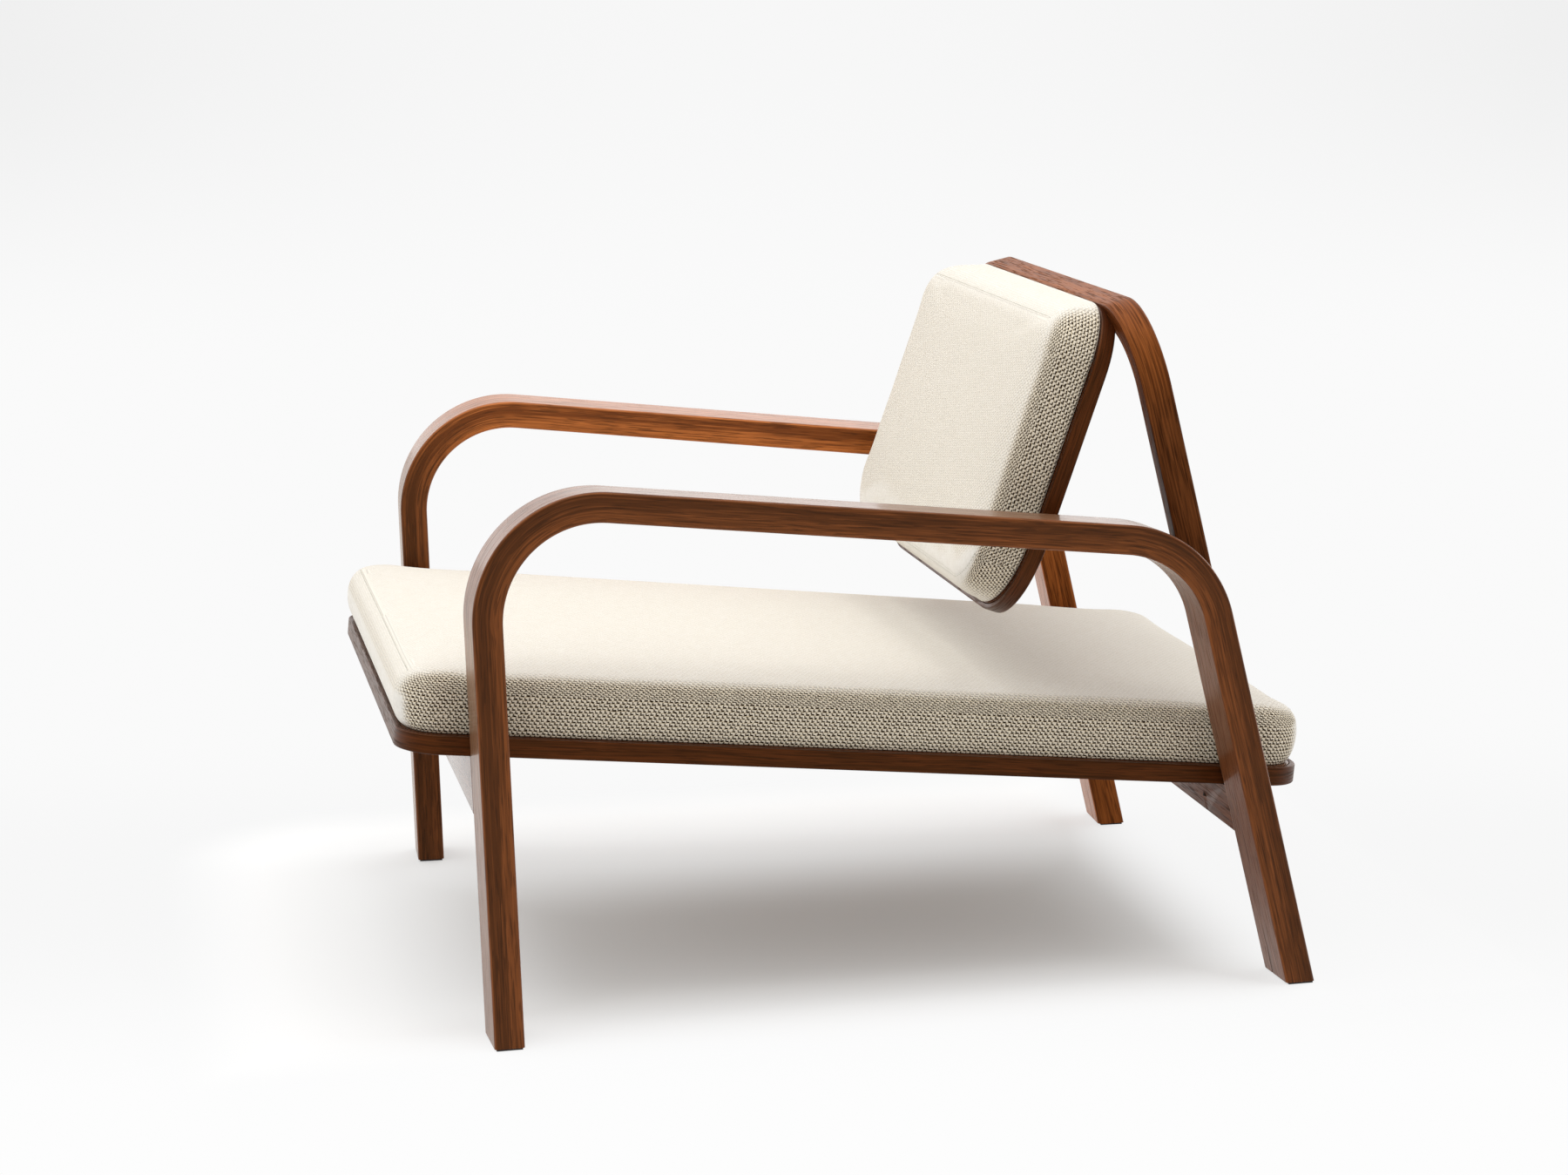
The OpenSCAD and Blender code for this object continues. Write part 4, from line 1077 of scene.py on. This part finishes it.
# %% Make the pads
seat_shape = SimpleNamespace(
    low=board_front - 4, high=board_rear + 4, half=board_half - 2, taper=taper, r_low=38.0, r_high=38.0,
    stop_low=86.0, stop_high=86.0, seam_in=9.0, seam_z=56.0, edge_round=17.0)
back_shape = SimpleNamespace(
    low=back_low + 13, high=back_high - 13, half=back_w / 2 - 1, taper=0.0, r_low=60.0, r_high=38.0,
    stop_low=24.0, stop_high=86.0, seam_in=8.0, seam_z=50.0, edge_round=15.0)


def make_pad(name, ring_at, thick, crown, matrix, base, shape, cell, most):
    pad = grid_pad(name, ring_at, thick, crown, matrix, base, cell)
    swell(pad, matrix, base, most)
    modify(pad, "SUBSURF", levels=1, render_levels=1)
    map_cloth(pad, matrix, base, shape)
    return pad


seat_pad = make_pad("seat_pad_cover", seat_ring, seat_pad_t, seat_crown, place_seat, board_t + fit_gap,
                    seat_shape, cell=7.0, most=3.5)
dress(seat_pad, cream_weave, "cream_weave", "seat_cover", "seat_foam")
back_pad = make_pad("back_pad_cover", back_ring, back_pad_t, back_crown, place_back, back_t + fit_gap,
                    back_shape, cell=6.0, most=2.2)
dress(back_pad, cream_weave, "cream_weave", "back_cover", "back_foam")

# %% [markdown]
# ## Stitches
#
# A stitch is a tiny rod, repeated every few millimetres along a seam, which is a task for Geometry
# Nodes: resample the line, put one rod on each point, turn it along the line, and make it real.

# %% Finishes with a small mottle
def mottled(name, scale, dark, pale, detail, dent, rough=0.5, gloss=None, **constants):
    # The scale is one number, or three for a finish that is longer one way
    material, tree, shader = finish(name, **constants)
    place = object_place(tree)
    if isinstance(scale, tuple):
        place, scale = stretch(place, *scale), 1.0
    mottle = noise(place, scale, detail, rough)
    feed(shader.inputs["Base Color"], mix(mottle, (*dark, 1), (*pale, 1)))
    if gloss:
        feed(shader.inputs["Roughness"], ease(mottle, *gloss))
    relief(tree, shader, mottle, *dent)
    return material


thread = mottled("thread", 900.0, (0.30, 0.30, 0.22), (0.55, 0.54, 0.44), 1.0, (0.0002, 0.5),
                 Roughness=0.75, Sheen_Weight=0.2)

# %% Geometry Nodes tree for stitches
stitch_tree = bpy.data.node_groups.new("stitches", "GeometryNodeTree")
new_socket = stitch_tree.interface.new_socket
new_socket("Geometry", in_out="INPUT", socket_type="NodeSocketGeometry")
stitch_sizes = {"Spacing": 0.0042, "Length": 0.0011, "Radius": 0.0003}
size_sockets = {label: new_socket(label, in_out="INPUT", socket_type="NodeSocketFloat")
                for label in stitch_sizes}
new_socket("Geometry", in_out="OUTPUT", socket_type="NodeSocketGeometry")
tree = stitch_tree
group_in, group_out = add(tree, "NodeGroupInput"), add(tree, "NodeGroupOutput")
line, spacing, length, radius = [Value(group_in.outputs[label]) for label in ("Geometry", *stitch_sizes)]
points = pick(tree, "GeometryNodeResampleCurve", 0, {"Curve": line, "Length": spacing}, mode="LENGTH")
rod = pick(tree, "GeometryNodeMeshUVSphere", 0, {"Segments": 6, "Rings": 4, "Radius": 1.0})
turned = pick(tree, "FunctionNodeAlignRotationToVector", 0,
              {"Vector": pick(tree, "GeometryNodeInputTangent")}, axis="Z")
copies = pick(tree, "GeometryNodeInstanceOnPoints", 0, {
    "Points": points, "Instance": rod, "Rotation": turned, "Scale": combine(tree, radius, radius, length)})
real = pick(tree, "GeometryNodeRealizeInstances", 0, {0: copies})
feed(group_out.inputs[0], pick(tree, "GeometryNodeSetMaterial", 0, {"Geometry": real, "Material": thread}))


# %% Sew the four seams
seam_steps, thread_lift = 40, 0.00015


def seam_path(surface, shape, matrix, base, front_side):
    # The line of the seam in plan, round the corners and along the end, dropped on to the pad
    out, y, r, stop = (-1.0, shape.low, shape.r_low, shape.stop_low) if front_side else \
        (1.0, shape.high, shape.r_high, shape.stop_high)
    y -= out * r
    half, inner = shape.half - y * shape.taper - r, r - shape.seam_in
    right = [(half + inner * cos(radians(a)), y + out * inner * sin(radians(a)))
             for a in np.linspace(stop, 90, 24)]
    end_x, end_y = right[-1]
    middle = [(end_x * (1 - 2 * k / seam_steps), end_y) for k in range(1, seam_steps)]
    found = []
    for x, y in right + middle + [(-x, y) for x, y in reversed(right)]:
        hit, normal, _, _ = surface.find_nearest(Vector(placed([(x, y, base + shape.seam_z)], matrix)[0]))
        found.append(hit + normal * thread_lift)
    return found


def sew(name, pad, shape, matrix, base):
    mesh = pad.data
    surface = BVHTree.FromPolygons([v.co for v in mesh.vertices], [p.vertices[:] for p in mesh.polygons])
    curve = bpy.data.curves.new(name, "CURVE")
    curve.dimensions = "3D"
    for front_side in (True, False):
        line = seam_path(surface, shape, matrix, base, front_side)
        spline = curve.splines.new("POLY")
        spline.points.add(len(line) - 1)
        for point, co in zip(spline.points, line):
            point.co = (*co, 1)
    guide = new_object(name + "_guide", curve)
    maker = guide.modifiers.new("stitches", "NODES")
    maker.node_group = stitch_tree
    for label, size in stitch_sizes.items():
        maker[size_sockets[label].identifier] = size
    made = bpy.data.meshes.new_from_object(evaluated(guide))
    bpy.data.objects.remove(guide)
    dress(new_object(name, made), thread, "cream_weave")


sew("seat_pad_stitches", seat_pad, seat_shape, place_seat, board_t + fit_gap)
sew("back_pad_stitches", back_pad, back_shape, place_back, back_t + fit_gap)

# %% [markdown]
# ## Everything else
#
# The other pieces keep their solids and only need their finish.

# %% Plain finishes
plywood = mottled("birch_plywood", (4, 60, 700), (0.42, 0.28, 0.16), (0.66, 0.50, 0.33), 2.0, (0.0003, 0.4),
                  Roughness=0.6)
beech = mottled("turned_beech", (20, 500, 500), (0.62, 0.45, 0.29), (0.78, 0.62, 0.45), 2.0, (0.0002, 0.4),
                Roughness=0.55)
zinc = mottled("zinc_plated_steel", 260.0, (0.55, 0.56, 0.58), (0.72, 0.72, 0.71), 3.0,
               (0.00005, 0.3), rough=0.6, gloss=(-0.9, 2.2), Metallic=1.0)
bronzed = mottled("bronzed_steel", 400.0, (0.030, 0.018, 0.011), (0.060, 0.036, 0.022), 2.0,
                  (0.00005, 0.3), Metallic=1.0, Roughness=0.5)
glide_rubber = mottled("glide_rubber", 1500.0, (0.02, 0.02, 0.02), (0.05, 0.048, 0.045), 2.0,
                       (0.0001, 0.4), Roughness=0.8)

# %% Put them on the solids
finishes = {
    depth_walnut: ["seat_board"], across_walnut: ["back_board"], plug_walnut: ["back_top_plugs"],
    plywood: ["seat_pad_base", "back_pad_base"], beech: ["rail_dowels", "hoop_dowels"],
    bronzed: ["seat_board_screws"], glide_rubber: ["foot_glides"],
    zinc: ["seat_pad_screws", "seat_pad_nuts", "back_pad_screws", "back_pad_nuts", "back_top_screws",
           "back_side_pins"]}
for material, nodes in finishes.items():
    for node in nodes:
        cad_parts[node].data.materials.clear()
        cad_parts[node].data.materials.append(material)
    print(material.name, "on", len(nodes), "nodes")
